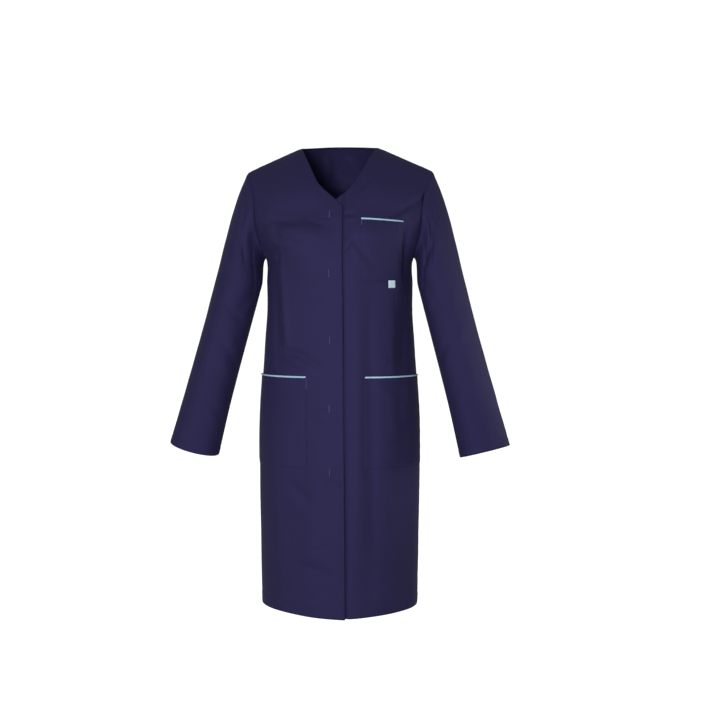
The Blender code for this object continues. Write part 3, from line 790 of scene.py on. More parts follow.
def tack_puckers(x, z):
    """The right front round its bar tacks: a low mound at each, and creases that run from it."""
    total = np.zeros_like(x)
    for i, (tack_x, tack_z) in enumerate(TACKS):
        total = total + TACK_FULL * near(x - tack_x, TACK_FULL_X) * near(z - tack_z, TACK_FULL_Z)
        for crease in map(TackCrease._make, TACK_CREASES):
            start = (tack_x + crease.x0, tack_z + crease.z0)
            end_x = tack_x + crease.x1 - crease.vary_x * (i % 2)
            end_z = tack_z + crease.z1 - crease.vary_z * (i % 3)
            total = total + line_fold(x, z, start, (end_x, end_z), TACK_CREASE_REACH, crease.rise)
    return total


def panel_grid(side, arm, rows, cols):
    """Columns, levels and base points of a body panel, before its fine relief."""
    down = -np.linspace(1, 0, rows * 2 // 3 + 1)
    level = np.concatenate([down, np.linspace(0, 1, rows - len(down) + 2)[1:]])
    if side == FRONT:
        c = np.linspace(0, 1, cols + 1)
        lap = right_lap if arm == RIGHT else left_lap
        c_grid, level_grid = np.meshgrid(c, level)
        x, z = panel_place(c_grid, level_grid, lap, FRONT)
        base = form_point(FRONT, arm * x, z)
        if arm == LEFT:
            base[..., 1] += lap_drop(x)
    else:
        c_grid, level_grid = np.meshgrid(np.linspace(-1, 1, cols + 1), level)
        x, z = panel_place(np.abs(c_grid), level_grid, no_lap, BACK)
        base = form_point(BACK, np.sign(c_grid) * x, z)
    return c_grid, level_grid, base


def out_normals(base, side):
    """Normals of a panel's grid, turned outwards."""
    normal = grid_normals(base)
    middle = normal[normal.shape[0] // 3, normal.shape[1] // 2, 1]
    return normal * np.sign(middle * side)


def hemmed_wall(edge):
    """Thickness of the cloth: it grows to that of a turned edge over the last few millimetres."""
    return CLOTH + (EDGE_CLOTH - CLOTH) * smooth_step((EDGE_BAND - edge) / EDGE_BAND)


def panel_cloth(name, side, base, rise, wall, across, up, material):
    """Cloth of a flat-cut piece: its base points moved out along their normals by the relief."""
    outer = base + rise[..., None] * out_normals(base, side)
    normals = out_normals(outer, side)
    GRIDS[name] = Grid(outer, normals, across, up)
    return cloth_shell(name, outer, normals, wall, material, np.stack([across, up], axis=-1))


def seam_relief(distance, run, seed, sink=SEAM_SINK):
    """A sewn seam: it sinks in a narrow line, and the cloth beside it puckers unevenly."""
    ripple = SEAM_PUCKER.rise * uneven(run / SEAM_PUCKER.length, seed)
    fading = np.exp(-distance / SEAM_PUCKER.reach) * (1 - near(distance, SEAM_CALM))
    return ripple * fading - sink * near(distance, SEAM_REACH)


def hem_relief(distance, depth, run, seed):
    """A turned hem: a little fuller below its stitch line, which sinks, with faint puckers."""
    turned = HEM_FULL * smooth_step((depth - distance) / HEM_STEP)
    line = lines_of("hem_stitches", distance - depth) + lines_of("hem_edge", distance)
    return turned + line + puckers(HEM_PUCKER, distance - depth, run, seed)


def top_relief(c, name, top_run, across, seed):
    """Along a panel's top: its turned neck edge, and a seam from the side neck to the tip."""
    on_shoulder = smooth_step((np.abs(c) - NECK_COLUMN_SHARE) / SHOULDER_BLEND)
    seam = on_shoulder * seam_relief(top_run, across, seed)
    return seam + (1 - on_shoulder) * lines_of(name, top_run)


def lap_relief(arm, x, z, level, across):
    """The closing edge: stitched and tacked on the right front, pressed in on the left one.

    Below the hips the right edge lifts off and the left one gives way, by a bell curve of the
    distance from the edge. The right edge lifts once more at one height.
    """
    falls_away = smooth_step((LAP_LIFT_FROM_Z - z) / LAP_LIFT_OVER)
    lift = LAP_LIFT * near(across, LAP_LIFT_REACH[arm]) * falls_away
    if arm == LEFT:
        return lines_of("beside_closing", x - right_lap(level)) - lift
    once_more = near(across, EDGE_LIFT_REACH) * near(z - EDGE_LIFT_Z, EDGE_LIFT_HEIGHT)
    return tack_puckers(x, z) + lines_of("closing_edge", across) + lift + EDGE_LIFT * once_more


def front_relief(x, z):
    """Creases and slow unevenness of the fronts at a place, which what lies on them shares."""
    return folds_of(CREASES, FRONT, x, z) + wander(x, z, FRONT_WAVES, 3)


def front_panel(arm, material):
    """One front: the body form with its creases, seams, edges and hem."""
    c, level, base = panel_grid(FRONT, arm, FRONT_ROWS, FRONT_COLUMNS)
    x, z = base[..., 0], base[..., 2]
    across, up = arcs(base, 1), arcs(base, 0)
    top_run = to_end(up, 0)
    sink = SEAM_SINK + (ARMHOLE_SINK - SEAM_SINK) * smooth_step(level / ARMHOLE_SINK_BY)
    rise = front_relief(x, z) + seam_relief(to_end(across, 1), up, 1.3 * arm, sink)
    rise = rise + top_relief(c, "front_neck", top_run, across, 2.1 * arm)
    rise = rise + hem_relief(up, HEM_DEPTH, across, 0.7 * arm)
    rise = rise + lap_relief(arm, x, z, level, across)
    neck_run = np.where(c < NECK_COLUMN_SHARE, top_run, np.inf)
    wall = hemmed_wall(np.minimum(np.minimum(across, up), neck_run))
    name = SIDE_NAME[arm] + "_front_cloth"
    return panel_cloth(name, FRONT, base, rise, wall, across, up, material)


def back_panel(material):
    """The back, from side seam to side seam."""
    c, _, base = panel_grid(BACK, None, BACK_ROWS, BACK_COLUMNS)
    x, z = base[..., 0], base[..., 2]
    across, up = arcs(base, 1), arcs(base, 0)
    side_run, top_run = np.minimum(across, to_end(across, 1)), to_end(up, 0)
    rise = folds_of(CREASES, BACK, x, z) + wander(across, z, BACK_WAVES, 5)
    rise = rise + seam_relief(side_run, up, 4.2 + 3 * np.sign(c))
    rise = rise + top_relief(c, "back_neck", top_run, across, 5.5)
    rise = rise + hem_relief(up, HEM_DEPTH, across, 3.3)
    neck_run = np.where(np.abs(c) < NECK_COLUMN_SHARE, top_run, np.inf)
    wall = hemmed_wall(np.minimum(up, neck_run))
    return panel_cloth("back_cloth", BACK, base, rise, wall, across, up, material)


def sleeve_normals(points):
    """Normals of a sleeve's grid, turned away from its centre line."""
    normal = grid_normals(points, closed=True)
    outward = points - points.mean(axis=1, keepdims=True)
    return normal * np.sign(np.sum(normal * outward, axis=-1).mean())


def sleeve(arm, material):
    """One sleeve, round from the underarm over the front and down from the armhole to the cuff."""
    round_share, along = np.meshgrid(
        np.linspace(0, 1, SLEEVE_ROUND + 1), np.linspace(0, 1, SLEEVE_ROWS + 1)
    )
    base = smooth_sleeve(arm, round_share, along)
    base[:, -1] = base[:, 0]
    around, down = arcs(base, 1), arcs(base, 0)
    left_to_run = to_end(down, 0)
    seam = np.minimum(around, to_end(around, 1))
    rise = folds_of(SLEEVE_FOLDS, arm, round_share, along)
    rise = rise + folds_of(SLEEVE_CREASES, arm, around, down)
    off_seam = smooth_step(seam / SLEEVE_WAVES_OFF_SEAM)
    rise = rise + wander(around, down, SLEEVE_WAVES, 7 + arm) * off_seam
    rise = rise + seam_relief(down, around, 6.1 + arm, ARMHOLE_SINK) + lines_of("sleeve_seam", seam)
    up_share = (1 - np.cos(2 * math.pi * round_share)) / 2
    head = lines_of("sleeve_head", down) + puckers(HEAD_PUCKER, down, around, arm)
    rise = rise + smooth_step(up_share - SLEEVE_HEAD_FROM) * head
    rise = rise + hem_relief(left_to_run, CUFF_HEM_DEPTH, around, 1.9 * arm)
    outer = base + rise[..., None] * sleeve_normals(base)
    outer[:, -1] = outer[:, 0]
    normals = sleeve_normals(outer)
    name = SIDE_NAME[arm] + "_sleeve_cloth"
    GRIDS[name] = Grid(outer[::-1], normals[::-1], around[::-1], left_to_run[::-1])
    wall, places = hemmed_wall(left_to_run), np.stack([around, down], axis=-1)
    return cloth_shell(name, outer, normals, wall, material, places, closed=True)


# ---------------------------------------------------------------- pockets, piping and tab


def chest_place(a, b):
    """Place on the chest pocket: level from side to side, but for a mouth that falls outwards."""
    x = CHEST_POCKET_X[0] + (CHEST_POCKET_X[1] - CHEST_POCKET_X[0]) * a
    fall = CHEST_POCKET_TOP[1] - CHEST_POCKET_TOP[0]
    return x, CHEST_POCKET_TOP[0] + fall * a - CHEST_POCKET_HEIGHT * b


def hip_place(arm):
    """Places on a hip pocket: from its inner edge round to the side seam, in even steps."""

    def place(a, b):
        z = HIP_POCKET_TOP - HIP_POCKET_HEIGHT * b
        width = section(z, "half_width")
        start = np.arcsin((HIP_POCKET_X / width) ** (FRONT_ROUNDNESS / 2))
        angle = start + (math.pi / 2 - start) * a
        return arm * width * np.sin(angle) ** (2 / FRONT_ROUNDNESS), z

    return place


POCKETS = {
    "chest_pocket": chest_place,
    "hip_pocket_right": hip_place(RIGHT),
    "hip_pocket_left": hip_place(LEFT),
}


def mouth_lift(a, below):
    """How far a pocket's mouth stands open, most at its middle and nothing well below it."""
    return POCKET_MOUTH * np.sqrt(np.sin(math.pi * a)) * np.exp(-below / MOUTH_DEPTH)


def pocket(name, material):
    """A patch pocket: its points are the front's, moved out, pressed flat along its sewn edges."""
    a, b = np.meshgrid(np.linspace(0, 1, POCKET_COLUMNS + 1), np.linspace(0, 1, POCKET_ROWS + 1))
    x, z = POCKETS[name](a, b)
    base = form_point(FRONT, x, z)
    across, down = arcs(base, 1), arcs(base, 0)
    at_sides = np.minimum(across, to_end(across, 1))
    sewn = np.minimum(at_sides, to_end(down, 0))
    wall = CLOTH * (POCKET_THIN + (1 - POCKET_THIN) * smooth_step(sewn / POCKET_THIN_BAND))
    filled = smooth_step((sewn - POCKET_FULL_FROM) / POCKET_FULL_OVER)
    stands_off = POCKET_SEWN + (POCKET_FULL - POCKET_SEWN) * filled
    rise = front_relief(x, z) + wall + stands_off + mouth_lift(a, down)
    rise = rise + lines_of("pocket_stitches", sewn) + lines_of("pocket_mouth", down)
    rise = rise + puckers(POCKET_PUCKER, at_sides, down, 2.2)
    if name != "chest_pocket":
        rise = rise + seam_relief(to_end(across, 1), down, 3.1)
    return panel_cloth(name + "_cloth", FRONT, base, rise, wall, across, down, material)


def piping(pocket_name, name, material):
    """Piping of a pocket mouth: a flattened round carried along the mouth's edge.

    It tapers towards the side seam, and runs out to a rounded tip at both ends.
    """
    a = np.linspace(0, 1, PIPING_ROWS)
    x, z = POCKETS[pocket_name](a, np.zeros_like(a))
    z = z + PIPING_HEIGHT / 2 + PIPING_UP
    base = form_point(FRONT, x, z)
    probe = np.stack([form_point(FRONT, x, z - 1), base, form_point(FRONT, x, z + 1)])
    out = out_normals(probe, FRONT)[1]
    up = unit(probe[2] - probe[0])
    lift = front_relief(x, z) + PATCH_GAP + PIPING_THICKNESS / 2 - PIPING_SINK + mouth_lift(a, 0)
    path = base + lift[:, None] * out
    run = arcs(path, 0)
    ends = np.clip(np.minimum(run, run[-1] - run) / PIPING_END, 0, 1)
    swell = 1 + PIPING_UNEVEN * uneven(run / PIPING_UNEVEN_LENGTH, 1.7)
    swell = np.sqrt(1 - (1 - ends) ** 2) * swell + PIPING_TIP
    turn = np.linspace(0, 2 * math.pi, PIPING_ROUND + 1)[:-1]
    squared = np.sign(np.cos(turn)) * np.abs(np.cos(turn)) ** PIPING_SQUARENESS
    high = squared * (PIPING_HEIGHT / 2 - PIPING_TRIM)
    slim = 1 - PIPING_TAPER * a**2
    deep = np.sin(turn) * PIPING_THICKNESS / 2
    rings = path[:, None] + swell[:, None, None] * (
        (slim[:, None] * high)[..., None] * up[:, None] + deep[None, :, None] * out[:, None]
    )
    return tube_mesh(name, rings, run, material)


def tube_mesh(name, rings, run, material):
    """Closed tube through rings of points, with its place on the cut from its run and its turn."""
    rows, cols = rings.shape[:2]
    index = np.arange(rows * cols).reshape(rows, cols)
    index = np.concatenate([index, index[:, :1]], axis=1)
    faces = grid_faces(index).tolist()
    faces += [index[0, -2::-1].tolist(), index[-1, :-1].tolist()]
    girth = np.linspace(0, PIPING_GIRTH, cols)
    places = np.stack(np.broadcast_arrays(run[:, None], girth[None]), axis=-1).reshape(-1, 2)
    middle = rings.mean(axis=1, keepdims=True)
    facing = np.cross(rings[1:-1, 1] - rings[1:-1, 0], rings[2:, 0] - rings[1:-1, 0])
    if np.sum(facing * (rings - middle)[1:-1, 0]) < 0:
        faces = [face[::-1] for face in faces]
    return make_mesh(name, rings.reshape(-1, 3), faces, material, places)


def woven_tab(material):
    """The small plain tab: a pressed square with a folded edge, at the chest pocket's foot."""
    a, b = np.meshgrid(np.linspace(0, 1, TAB_COLUMNS + 1), np.linspace(0, 1, TAB_ROWS + 1))
    x = TAB_X[0] + (TAB_X[1] - TAB_X[0]) * a
    z = TAB_Z[0] + (TAB_Z[1] - TAB_Z[0]) * b
    base = form_point(FRONT, x, z)
    across, down = arcs(base, 1), arcs(base, 0)
    edge = np.minimum(np.minimum(across, to_end(across, 1)), np.minimum(down, to_end(down, 0)))
    rise = front_relief(x, z) + 2 * CLOTH + POCKET_FULL + TAB_GAP + lines_of("tab_edge", edge)
    wall = np.full(rise.shape, TAB_CLOTH)
    return panel_cloth("woven_tab", FRONT, base, rise, wall, across, down, material)


# ---------------------------------------------------------------- stitches and tacks


def stitch_mesh(name, middles, along, out, length, radius, material):
    """Joined stitches: each is a small grain, a profile turned about its length.

    The grain arches out of the cloth as a parabola, and its ends sink into it.
    """
    out = unit(out - np.sum(out * along, axis=-1, keepdims=True) * along)
    side = np.cross(along, out)
    t, thick = STITCH_PROFILE[:, 0], STITCH_PROFILE[:, 1] * radius
    turn = np.linspace(0, 2 * math.pi, STITCH_SIDES + 1)[:-1, None]
    arch = radius * (STITCH_ARCH * (1 - t**2) - STITCH_SUNK)
    rings = middles[:, None, None] + along[:, None, None] * (t * length / 2)[None, :, None, None]
    rings = rings + out[:, None, None] * arch[None, :, None, None]
    spread = np.cos(turn)[None] * side[:, None] + np.sin(turn)[None] * out[:, None]
    rings = rings + thick[None, :, None, None] * spread[:, None]
    size = len(t) * STITCH_SIDES
    ring = np.arange(size).reshape(len(t), STITCH_SIDES)
    ring = np.concatenate([ring, ring[:, :1]], axis=1)
    caps = [ring[0, [3, 2, 1, 0]], ring[0, [5, 4, 3, 0]], ring[-1, :4], ring[-1, [0, 3, 4, 5]]]
    shifts = size * np.arange(len(middles))[:, None, None]
    faces = (np.concatenate([grid_faces(ring), caps])[None] + shifts).reshape(-1, 4)
    points = rings.reshape(-1, 3)
    corner, second, third = points[faces[0][:3]]
    facing = np.cross(second - corner, third - corner)
    if np.dot(facing, corner - rings[0, 0].mean(axis=0)) < 0:
        faces = faces[:, ::-1]
    return make_mesh(name, points, faces, material, points[:, [0, 2]])


def even_steps(path, out, step):
    """Middles, directions and normals at even steps along a path of points."""
    run = arcs(path, 0)
    count = max(int(run[-1] / step), 1)
    at = (np.arange(count) + 0.5) * run[-1] / count
    half = step / 4

    def spot(values, where):
        return np.stack([np.interp(where, run, values[:, k]) for k in range(3)], axis=-1)

    return spot(path, at), unit(spot(path, at + half) - spot(path, at - half)), unit(spot(out, at))


def row_path(grid, depth):
    """Path and normals along a grid at one distance from its first row."""
    row = np.clip(np.argmax(grid.up > depth, axis=0), 1, None)
    column = np.arange(grid.up.shape[1])
    low, high = grid.up[row - 1, column], grid.up[row, column]
    t = ((depth - low) / (high - low))[:, None]
    path = grid.points[row - 1, column] * (1 - t) + grid.points[row, column] * t
    return path, grid.normals[row, column]


def column_path(grid, depth, last):
    """Path and normals down a grid at one distance from its first column, or from its last."""
    run = to_end(grid.across, 1) if last else grid.across
    column = np.argmin(np.abs(run - depth), axis=1)
    row = np.arange(len(column))
    return grid.points[row, column], grid.normals[row, column]


def from_foot(grid):
    """The same grid, with its rows counted from the last one."""
    up = to_end(grid.up, 0)[::-1]
    return Grid(grid.points[::-1], grid.normals[::-1], grid.across[::-1], up)


def joined_stitches(name, paths, stitch, material):
    """Topstitches along several paths, joined in one piece."""
    steps = [even_steps(path, out, stitch.length + stitch.gap) for path, out in paths]
    middles, along, out = (np.concatenate(part) for part in zip(*steps))
    return stitch_mesh(name, middles, along, out, stitch.length, stitch.radius, material)


def on_cloth(grid, x, z):
    """Points and normals of a grid at places seen from the front, from its nearest point."""
    flat, normals = grid.points.reshape(-1, 3), grid.normals.reshape(-1, 3)
    off = (flat[None, :, 0] - x[:, None]) ** 2 + (flat[None, :, 2] - z[:, None]) ** 2
    k = np.argmin(off, axis=1)
    n, p = normals[k], flat[k]
    y = p[:, 1] - (n[:, 0] * (x - p[:, 0]) + n[:, 2] * (z - p[:, 2])) / n[:, 1]
    return np.stack([x, y, z], axis=-1), n


def tack_threads(name, spots, material):
    """Bar tacks: each is a column of short threads laid closely across it."""
    steps = [even_steps(path, normals, TACK_PITCH) for path, normals in spots]
    middles, down, out = (np.concatenate(part) for part in zip(*steps))
    along = unit(np.cross(down, out))
    middles = middles + TACK_LIFT * out
    return stitch_mesh(name, middles, along, out, TACK_WIDTH, TACK_RADIUS, material)


# ---------------------------------------------------------------- materials

# Twill: how deep the yarns cut into the ribs, and the scale of the uneven dye across and along
YARN_SHARE = 0.3
WEAVE_GAIN = 0.35
FLECK_SCALE = (700, 110, 1)
FLECK_DETAIL = 3.0
# Handled cloth: scale and detail of its changes of tone and of its dents
HANDLED_NOISES = {"Tone": (9.0, 3.0), "Dents": (60.0, 4.0)}
TONE_GAIN, FLECK_GAIN, TONE_SHIFT = 0.9, 0.6, -0.25
ROUGH_SPREAD = 0.12
SHEEN_ROUGHNESS = 0.4
SHEEN_TINT = (0.45, 0.42, 0.95, 1)

# Weave and dents are relief in mm, ribs is a number in a metre
Finish = namedtuple(
    "Finish", ("dark", "light", "rough", "sheen", "specular", "ribs", "weave", "dents")
)
FINISHES = {
    "navy_twill": Finish(
        (0.0160, 0.0140, 0.0455), (0.0215, 0.0188, 0.0605), 0.60, 0.04, 0.35, 1500, 0.10, 0.5
    ),
    "sky_satin": Finish(
        (0.30, 0.48, 0.60), (0.42, 0.60, 0.72), 0.50, 0.15, 0.40, 2600, 0.06, 0.1
    ),
    "pale_weave": Finish(
        (0.48, 0.62, 0.72), (0.62, 0.75, 0.83), 0.70, 0.10, 0.30, 1300, 0.16, 0.1
    ),
    "navy_thread": Finish(
        (0.0160, 0.0130, 0.0560), (0.0210, 0.0175, 0.0740), 0.60, 0.05, 0.20, 2600, 0.04, 0.0
    ),
    "light_thread": Finish(
        (0.065, 0.073, 0.165), (0.095, 0.108, 0.220), 0.55, 0.10, 0.30, 2600, 0.04, 0.0
    ),
}


def new_group(name, inputs, outputs):
    """Empty shader group: inputs are name: default, or None for a vector, and outputs are names."""
    group = bpy.data.node_groups.new(name, "ShaderNodeTree")
    for key, value in inputs.items():
        kind = "NodeSocketVector" if value is None else "NodeSocketFloat"
        socket = group.interface.new_socket(key, in_out="INPUT", socket_type=kind)
        if value is not None:
            socket.default_value = value
    for key in outputs:
        group.interface.new_socket(key, in_out="OUTPUT", socket_type="NodeSocketFloat")
    return group, group.nodes.new("NodeGroupInput"), group.nodes.new("NodeGroupOutput")


def feed(tree, node, inputs):
    """Sets inputs of a node: each is a value, or an output of another node to link."""
    for key, value in inputs.items():
        if isinstance(value, bpy.types.NodeSocket):
            tree.links.new(value, node.inputs[key])
        else:
            node.inputs[key].default_value = value
    return node


def maths(tree, operation, *values):
    """Math node: each value is a number or an output to link. Returns its output."""
    node = tree.nodes.new("ShaderNodeMath")
    node.operation = operation
    return feed(tree, node, dict(enumerate(values))).outputs[0]


def noise(tree, place, scale, detail):
    """Soft noise at a place, between 0 and 1. Returns its output."""
    node = tree.nodes.new("ShaderNodeTexNoise")
    feed(tree, node, {"Vector": place, "Scale": scale, "Detail": detail, "Roughness": 0.5})
    return node.outputs[0]


def twill_group():
    """Twill weave: ribs run diagonally as a sine, broken up along each rib by the yarns' own sine.

    Ribs is how many there are in a metre. Height is the weave's relief, and Fleck a soft noise
    drawn out along the yarns, for threads that took the dye unevenly.
    """
    inputs = {"Cut": None, "Ribs": FINISHES["navy_twill"].ribs}
    group, given, put = new_group("twill_weave", inputs, ("Height", "Fleck"))
    cut, ribs = given.outputs["Cut"], given.outputs["Ribs"]
    split = group.nodes.new("ShaderNodeSeparateXYZ")
    feed(group, split, {0: cut})
    turns = maths(group, "MULTIPLY", ribs, 2 * math.pi)
    slant = maths(group, "MULTIPLY_ADD", split.outputs[0], 1.0, split.outputs[1])
    rib = maths(group, "SINE", maths(group, "MULTIPLY", slant, turns))
    twice = maths(group, "MULTIPLY", turns, 2.0)
    yarn = maths(group, "SINE", maths(group, "MULTIPLY", split.outputs[0], twice))
    both = maths(group, "MULTIPLY_ADD", yarn, YARN_SHARE, rib)
    stretch = group.nodes.new("ShaderNodeMapping")
    feed(group, stretch, {"Scale": FLECK_SCALE, "Vector": cut})
    height = maths(group, "MULTIPLY_ADD", both, WEAVE_GAIN, 0.5)
    fleck = noise(group, stretch.outputs[0], 1.0, FLECK_DETAIL)
    feed(group, put, {"Height": height, "Fleck": fleck})
    return group


def handled_group():
    """Cloth that has been pressed and worn: slow changes of tone, and small soft dents."""
    group, given, put = new_group("handled_cloth", {"Place": None}, ("Tone", "Dents"))
    for key, (scale, detail) in HANDLED_NOISES.items():
        feed(group, put, {key: noise(group, given.outputs["Place"], scale, detail)})
    return group


TWILL = twill_group()
HANDLED = handled_group()


def cloth_material(name):
    """Cloth in one of the finishes: its colour runs from dark to light with the handled tone and
    the yarns' flecks, and the weave's relief lies over the dents'."""
    finish = FINISHES[name]
    material = bpy.data.materials.new(name)
    material.use_nodes = True
    tree = material.node_tree
    cut = tree.nodes.new("ShaderNodeUVMap")
    cut.uv_map = "cut"
    place = tree.nodes.new("ShaderNodeTexCoord")
    weave = tree.nodes.new("ShaderNodeGroup")
    weave.node_tree = TWILL
    feed(tree, weave, {"Ribs": finish.ribs, "Cut": cut.outputs["UV"]})
    handled = tree.nodes.new("ShaderNodeGroup")
    handled.node_tree = HANDLED
    feed(tree, handled, {"Place": place.outputs["Object"]})
    worn = handled.outputs["Tone"]
    tone = maths(tree, "MULTIPLY_ADD", worn, TONE_GAIN, TONE_SHIFT)
    tone = maths(tree, "MULTIPLY_ADD", weave.outputs["Fleck"], FLECK_GAIN, tone)
    colour = tree.nodes.new("ShaderNodeMix")
    colour.data_type = "RGBA"
    feed(tree, colour, {"A": (*finish.dark, 1), "B": (*finish.light, 1), "Factor": tone})
    rough = maths(tree, "MULTIPLY_ADD", worn, ROUGH_SPREAD, finish.rough - ROUGH_SPREAD / 2)
    dents = tree.nodes.new("ShaderNodeBump")
    feed(tree, dents, {"Distance": finish.dents * MM, "Height": handled.outputs["Dents"]})
    ribs = tree.nodes.new("ShaderNodeBump")
    feed(tree, ribs, {"Distance": finish.weave * MM, "Height": weave.outputs["Height"]})
    feed(tree, ribs, {"Normal": dents.outputs["Normal"]})
    strongest = max(finish.light)
    feed(tree, tree.nodes["Principled BSDF"], {
        "Base Color": colour.outputs["Result"],
        "Roughness": rough,
        "Normal": ribs.outputs["Normal"],
        "Sheen Weight": finish.sheen,
        "Sheen Roughness": SHEEN_ROUGHNESS,
        "Sheen Tint": SHEEN_TINT,
        "Specular IOR Level": finish.specular,
        "Specular Tint": (*(part / strongest for part in finish.light), 1),
    })
    return material


# ---------------------------------------------------------------- camera, light and floor

VIEW_AZIMUTH = 5.0
CAMERA_DISTANCE = 2600.0
CAMERA_Z = -293.0
PHOTO_SIDE = 720
FOCAL_PIXELS = 1215.0
SENSOR = 36.0
SHIFT_PIXELS = (20.3, -75.0)

# Square soft lights: place, point they are turned to, side in metres, watts, spread in degrees
Light = namedtuple("Light", ("name", "place", "aim", "size", "power", "spread"))
LIGHTS = (
    ("front_light", (-250, -3000, -420), (100, 0, -300), 0.8, 15.0, 90),
    ("left_light", (-1700, -1800, -400), (0, 0, -400), 0.7, 5.5, 180),
    ("side_light", (1400, 160, -300), (300, -30, -400), 0.5, 0.7, 60),
)
WORLD_LIGHT = 0.27
WORLD_SEEN = 1.1
FLOOR_Z = -1400.0
FLOOR_RADIUS = 9000.0
FLOOR_SIDES = 96
FLOOR_TONE = 0.85
FLOOR_ROUGHNESS = 0.9
FLOOR_GLOW = 0.95


def place_camera():
    """Level camera in front of the coat, a little to the wearer's left, with a lens shift."""
    data = bpy.data.cameras.new("photo_camera")
    data.sensor_width = SENSOR
    data.lens = FOCAL_PIXELS / PHOTO_SIDE * SENSOR
    data.shift_x = SHIFT_PIXELS[0] / PHOTO_SIDE
    data.shift_y = SHIFT_PIXELS[1] / PHOTO_SIDE
    camera = bpy.data.objects.new("photo_camera", data)
    bpy.context.scene.collection.objects.link(camera)
    turn = math.radians(VIEW_AZIMUTH)
    camera.location = (
        CAMERA_DISTANCE * MM * math.sin(turn),
        -CAMERA_DISTANCE * MM * math.cos(turn),
        CAMERA_Z * MM,
    )
    camera.rotation_euler = (math.pi / 2, 0, turn)
    bpy.context.scene.camera = camera


def place_light(light):
    """One soft light, turned from its place to the point that it lights."""
    data = bpy.data.lights.new(light.name, "AREA")
    data.size = light.size
    data.energy = light.power
    data.spread = math.radians(light.spread)
    lamp = bpy.data.objects.new(light.name, data)
    bpy.context.scene.collection.objects.link(lamp)
    lamp.location = [part * MM for part in light.place]
    way = [(a - b) * MM for a, b in zip(light.place, light.aim)]
    level = math.hypot(way[0], way[1])
    lamp.rotation_euler = (math.atan2(level, way[2]), 0, math.atan2(way[0], -way[1]))


def floor_material():
    """White paper floor, lifted by a little light of its own so that it meets the surroundings."""
    material = bpy.data.materials.new("pale_floor")
    material.use_nodes = True
    tree = material.node_tree
    seen = tree.nodes.new("ShaderNodeLightPath")
    glow = maths(tree, "MULTIPLY", seen.outputs["Is Camera Ray"], FLOOR_GLOW)
    feed(tree, tree.nodes["Principled BSDF"], {
        "Base Color": (FLOOR_TONE, FLOOR_TONE, FLOOR_TONE, 1),
        "Roughness": FLOOR_ROUGHNESS,
        "Specular IOR Level": 0.0,
        "Emission Color": (1, 1, 1, 1),
        "Emission Strength": glow,
    })
    return material


def light_surroundings():
    """White surroundings, which light the coat less than the camera sees them."""
    world = bpy.data.worlds.new("studio")
    world.use_nodes = True
    tree = world.node_tree
    path = tree.nodes.new("ShaderNodeLightPath")
    strength = tree.nodes.new("ShaderNodeMapRange")
    feed(tree, strength, {"To Min": WORLD_LIGHT, "To Max": WORLD_SEEN})
    feed(tree, strength, {"Value": path.outputs["Is Camera Ray"]})
    background = {"Color": (1, 1, 1, 1), "Strength": strength.outputs["Result"]}
    feed(tree, tree.nodes["Background"], background)
    bpy.context.scene.world = world


def build_studio():
    """Pale floor well below the worn coat, and soft light from the front, the left and the side."""
    bpy.context.scene.view_settings.view_transform = "Standard"
    light_surroundings()
    for light in map(Light._make, LIGHTS):
        place_light(light)
    bpy.ops.mesh.primitive_circle_add(
        vertices=FLOOR_SIDES, radius=FLOOR_RADIUS * MM, fill_type="NGON"
    )
    floor = bpy.context.object
    floor.name = "pale_floor"
    floor.location.z = FLOOR_Z * MM
    floor.data.materials.append(floor_material())


# ---------------------------------------------------------------- the coat


def dress(piece, node):
    """The piece hangs on the root, and the solid that it stands for, if one is named, is hidden."""
    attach(piece, "root")
    if node:
        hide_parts(node)


def sewing_lines():
    """Paths of the topstitches, under the name of the piece that they are joined in."""
    hems = [row_path(GRIDS[name], HEM_DEPTH) for name in PANELS]
    cuffs = [row_path(GRIDS[side + "_sleeve_cloth"], CUFF_HEM_DEPTH) for side in SIDE_NAME.values()]
    patches = [GRIDS[name + "_cloth"] for name in POCKETS]
    pockets = [column_path(patch, STITCH_INSET, False) for patch in patches]
    pockets.append(column_path(patches[0], STITCH_INSET, True))
    for patch in patches:
        pockets += [row_path(from_foot(patch), STITCH_INSET), row_path(patch, MOUTH_INSET)]
    return {"hem_stitches": hems, "cuff_stitches": cuffs, "pocket_stitches": pockets}


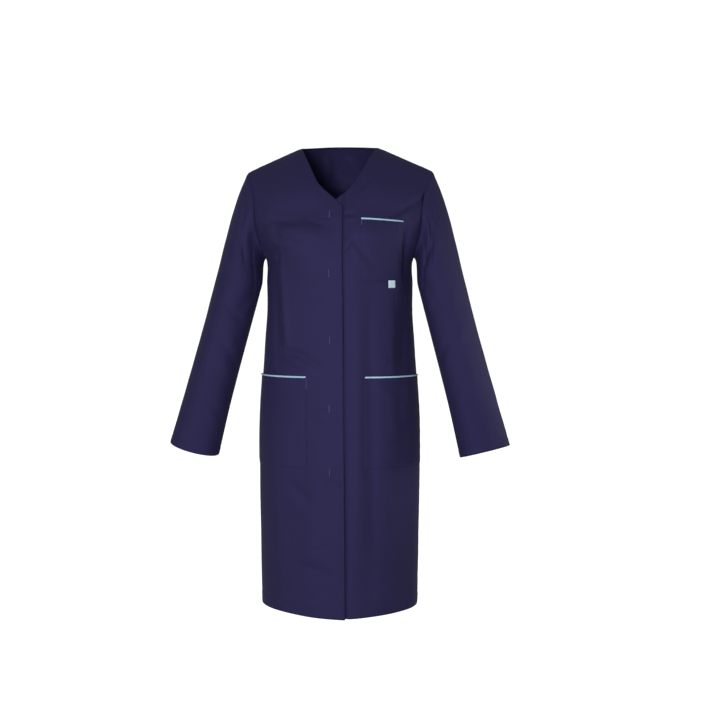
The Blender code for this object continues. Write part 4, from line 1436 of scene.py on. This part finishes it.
def tab_lines():
    """Paths of the stitches round the woven tab."""
    grid = GRIDS["woven_tab"]
    sides = [column_path(grid, TAB_INSET, last) for last in (False, True)]
    return [row_path(grid, TAB_INSET), row_path(from_foot(grid), TAB_INSET)] + sides


def tack_spots():
    """Paths of the bar tacks: five down the closing, and one at the start of two pocket mouths."""
    spots = []
    for tack_x, tack_z in TACKS:
        z = tack_z + TACK_LENGTH * np.linspace(0.5, -0.5, TACK_POINTS)
        spots.append(on_cloth(GRIDS["right_front_cloth"], np.full(TACK_POINTS, tack_x), z))
    for name, length in CORNER_TACKS:
        path, out = column_path(GRIDS[name], CORNER_TACK_INSET, False)
        keep = GRIDS[name].up[:, 0] < length
        spots.append((path[keep], out[keep]))
    return spots


place_camera()
build_studio()

MATERIALS = {name: cloth_material(name) for name in FINISHES}
NAVY, THREAD = MATERIALS["navy_twill"], MATERIALS["navy_thread"]
PANELS = ("right_front_cloth", "left_front_cloth", "back_cloth")

for piece, node in (
    (front_panel(RIGHT, NAVY), "front_right"),
    (front_panel(LEFT, NAVY), "front_left"),
    (back_panel(NAVY), "back"),
    (sleeve(RIGHT, NAVY), "sleeve_right"),
    (sleeve(LEFT, NAVY), "sleeve_left"),
):
    dress(piece, node)
for node, under in (
    ("chest_pocket", "left_front_cloth"),
    ("hip_pocket_right", "right_front_cloth"),
    ("hip_pocket_left", "left_front_cloth"),
):
    patch = pocket(node, NAVY)
    dress(patch, node)
for pocket_name, node in (
    ("chest_pocket", "chest_piping"),
    ("hip_pocket_right", "hip_piping_right"),
    ("hip_pocket_left", "hip_piping_left"),
):
    dress(piping(pocket_name, node + "_band", MATERIALS["sky_satin"]), node)
tab = woven_tab(MATERIALS["pale_weave"])
dress(tab, "pocket_tab")

for name, paths in sewing_lines().items():
    dress(joined_stitches(name, paths, TOPSTITCH, THREAD), None)
tab_thread = joined_stitches("tab_stitches", tab_lines(), TAB_STITCH, MATERIALS["pale_weave"])
dress(tab_thread, None)
dress(tack_threads("bar_tacks", tack_spots(), MATERIALS["light_thread"]), None)
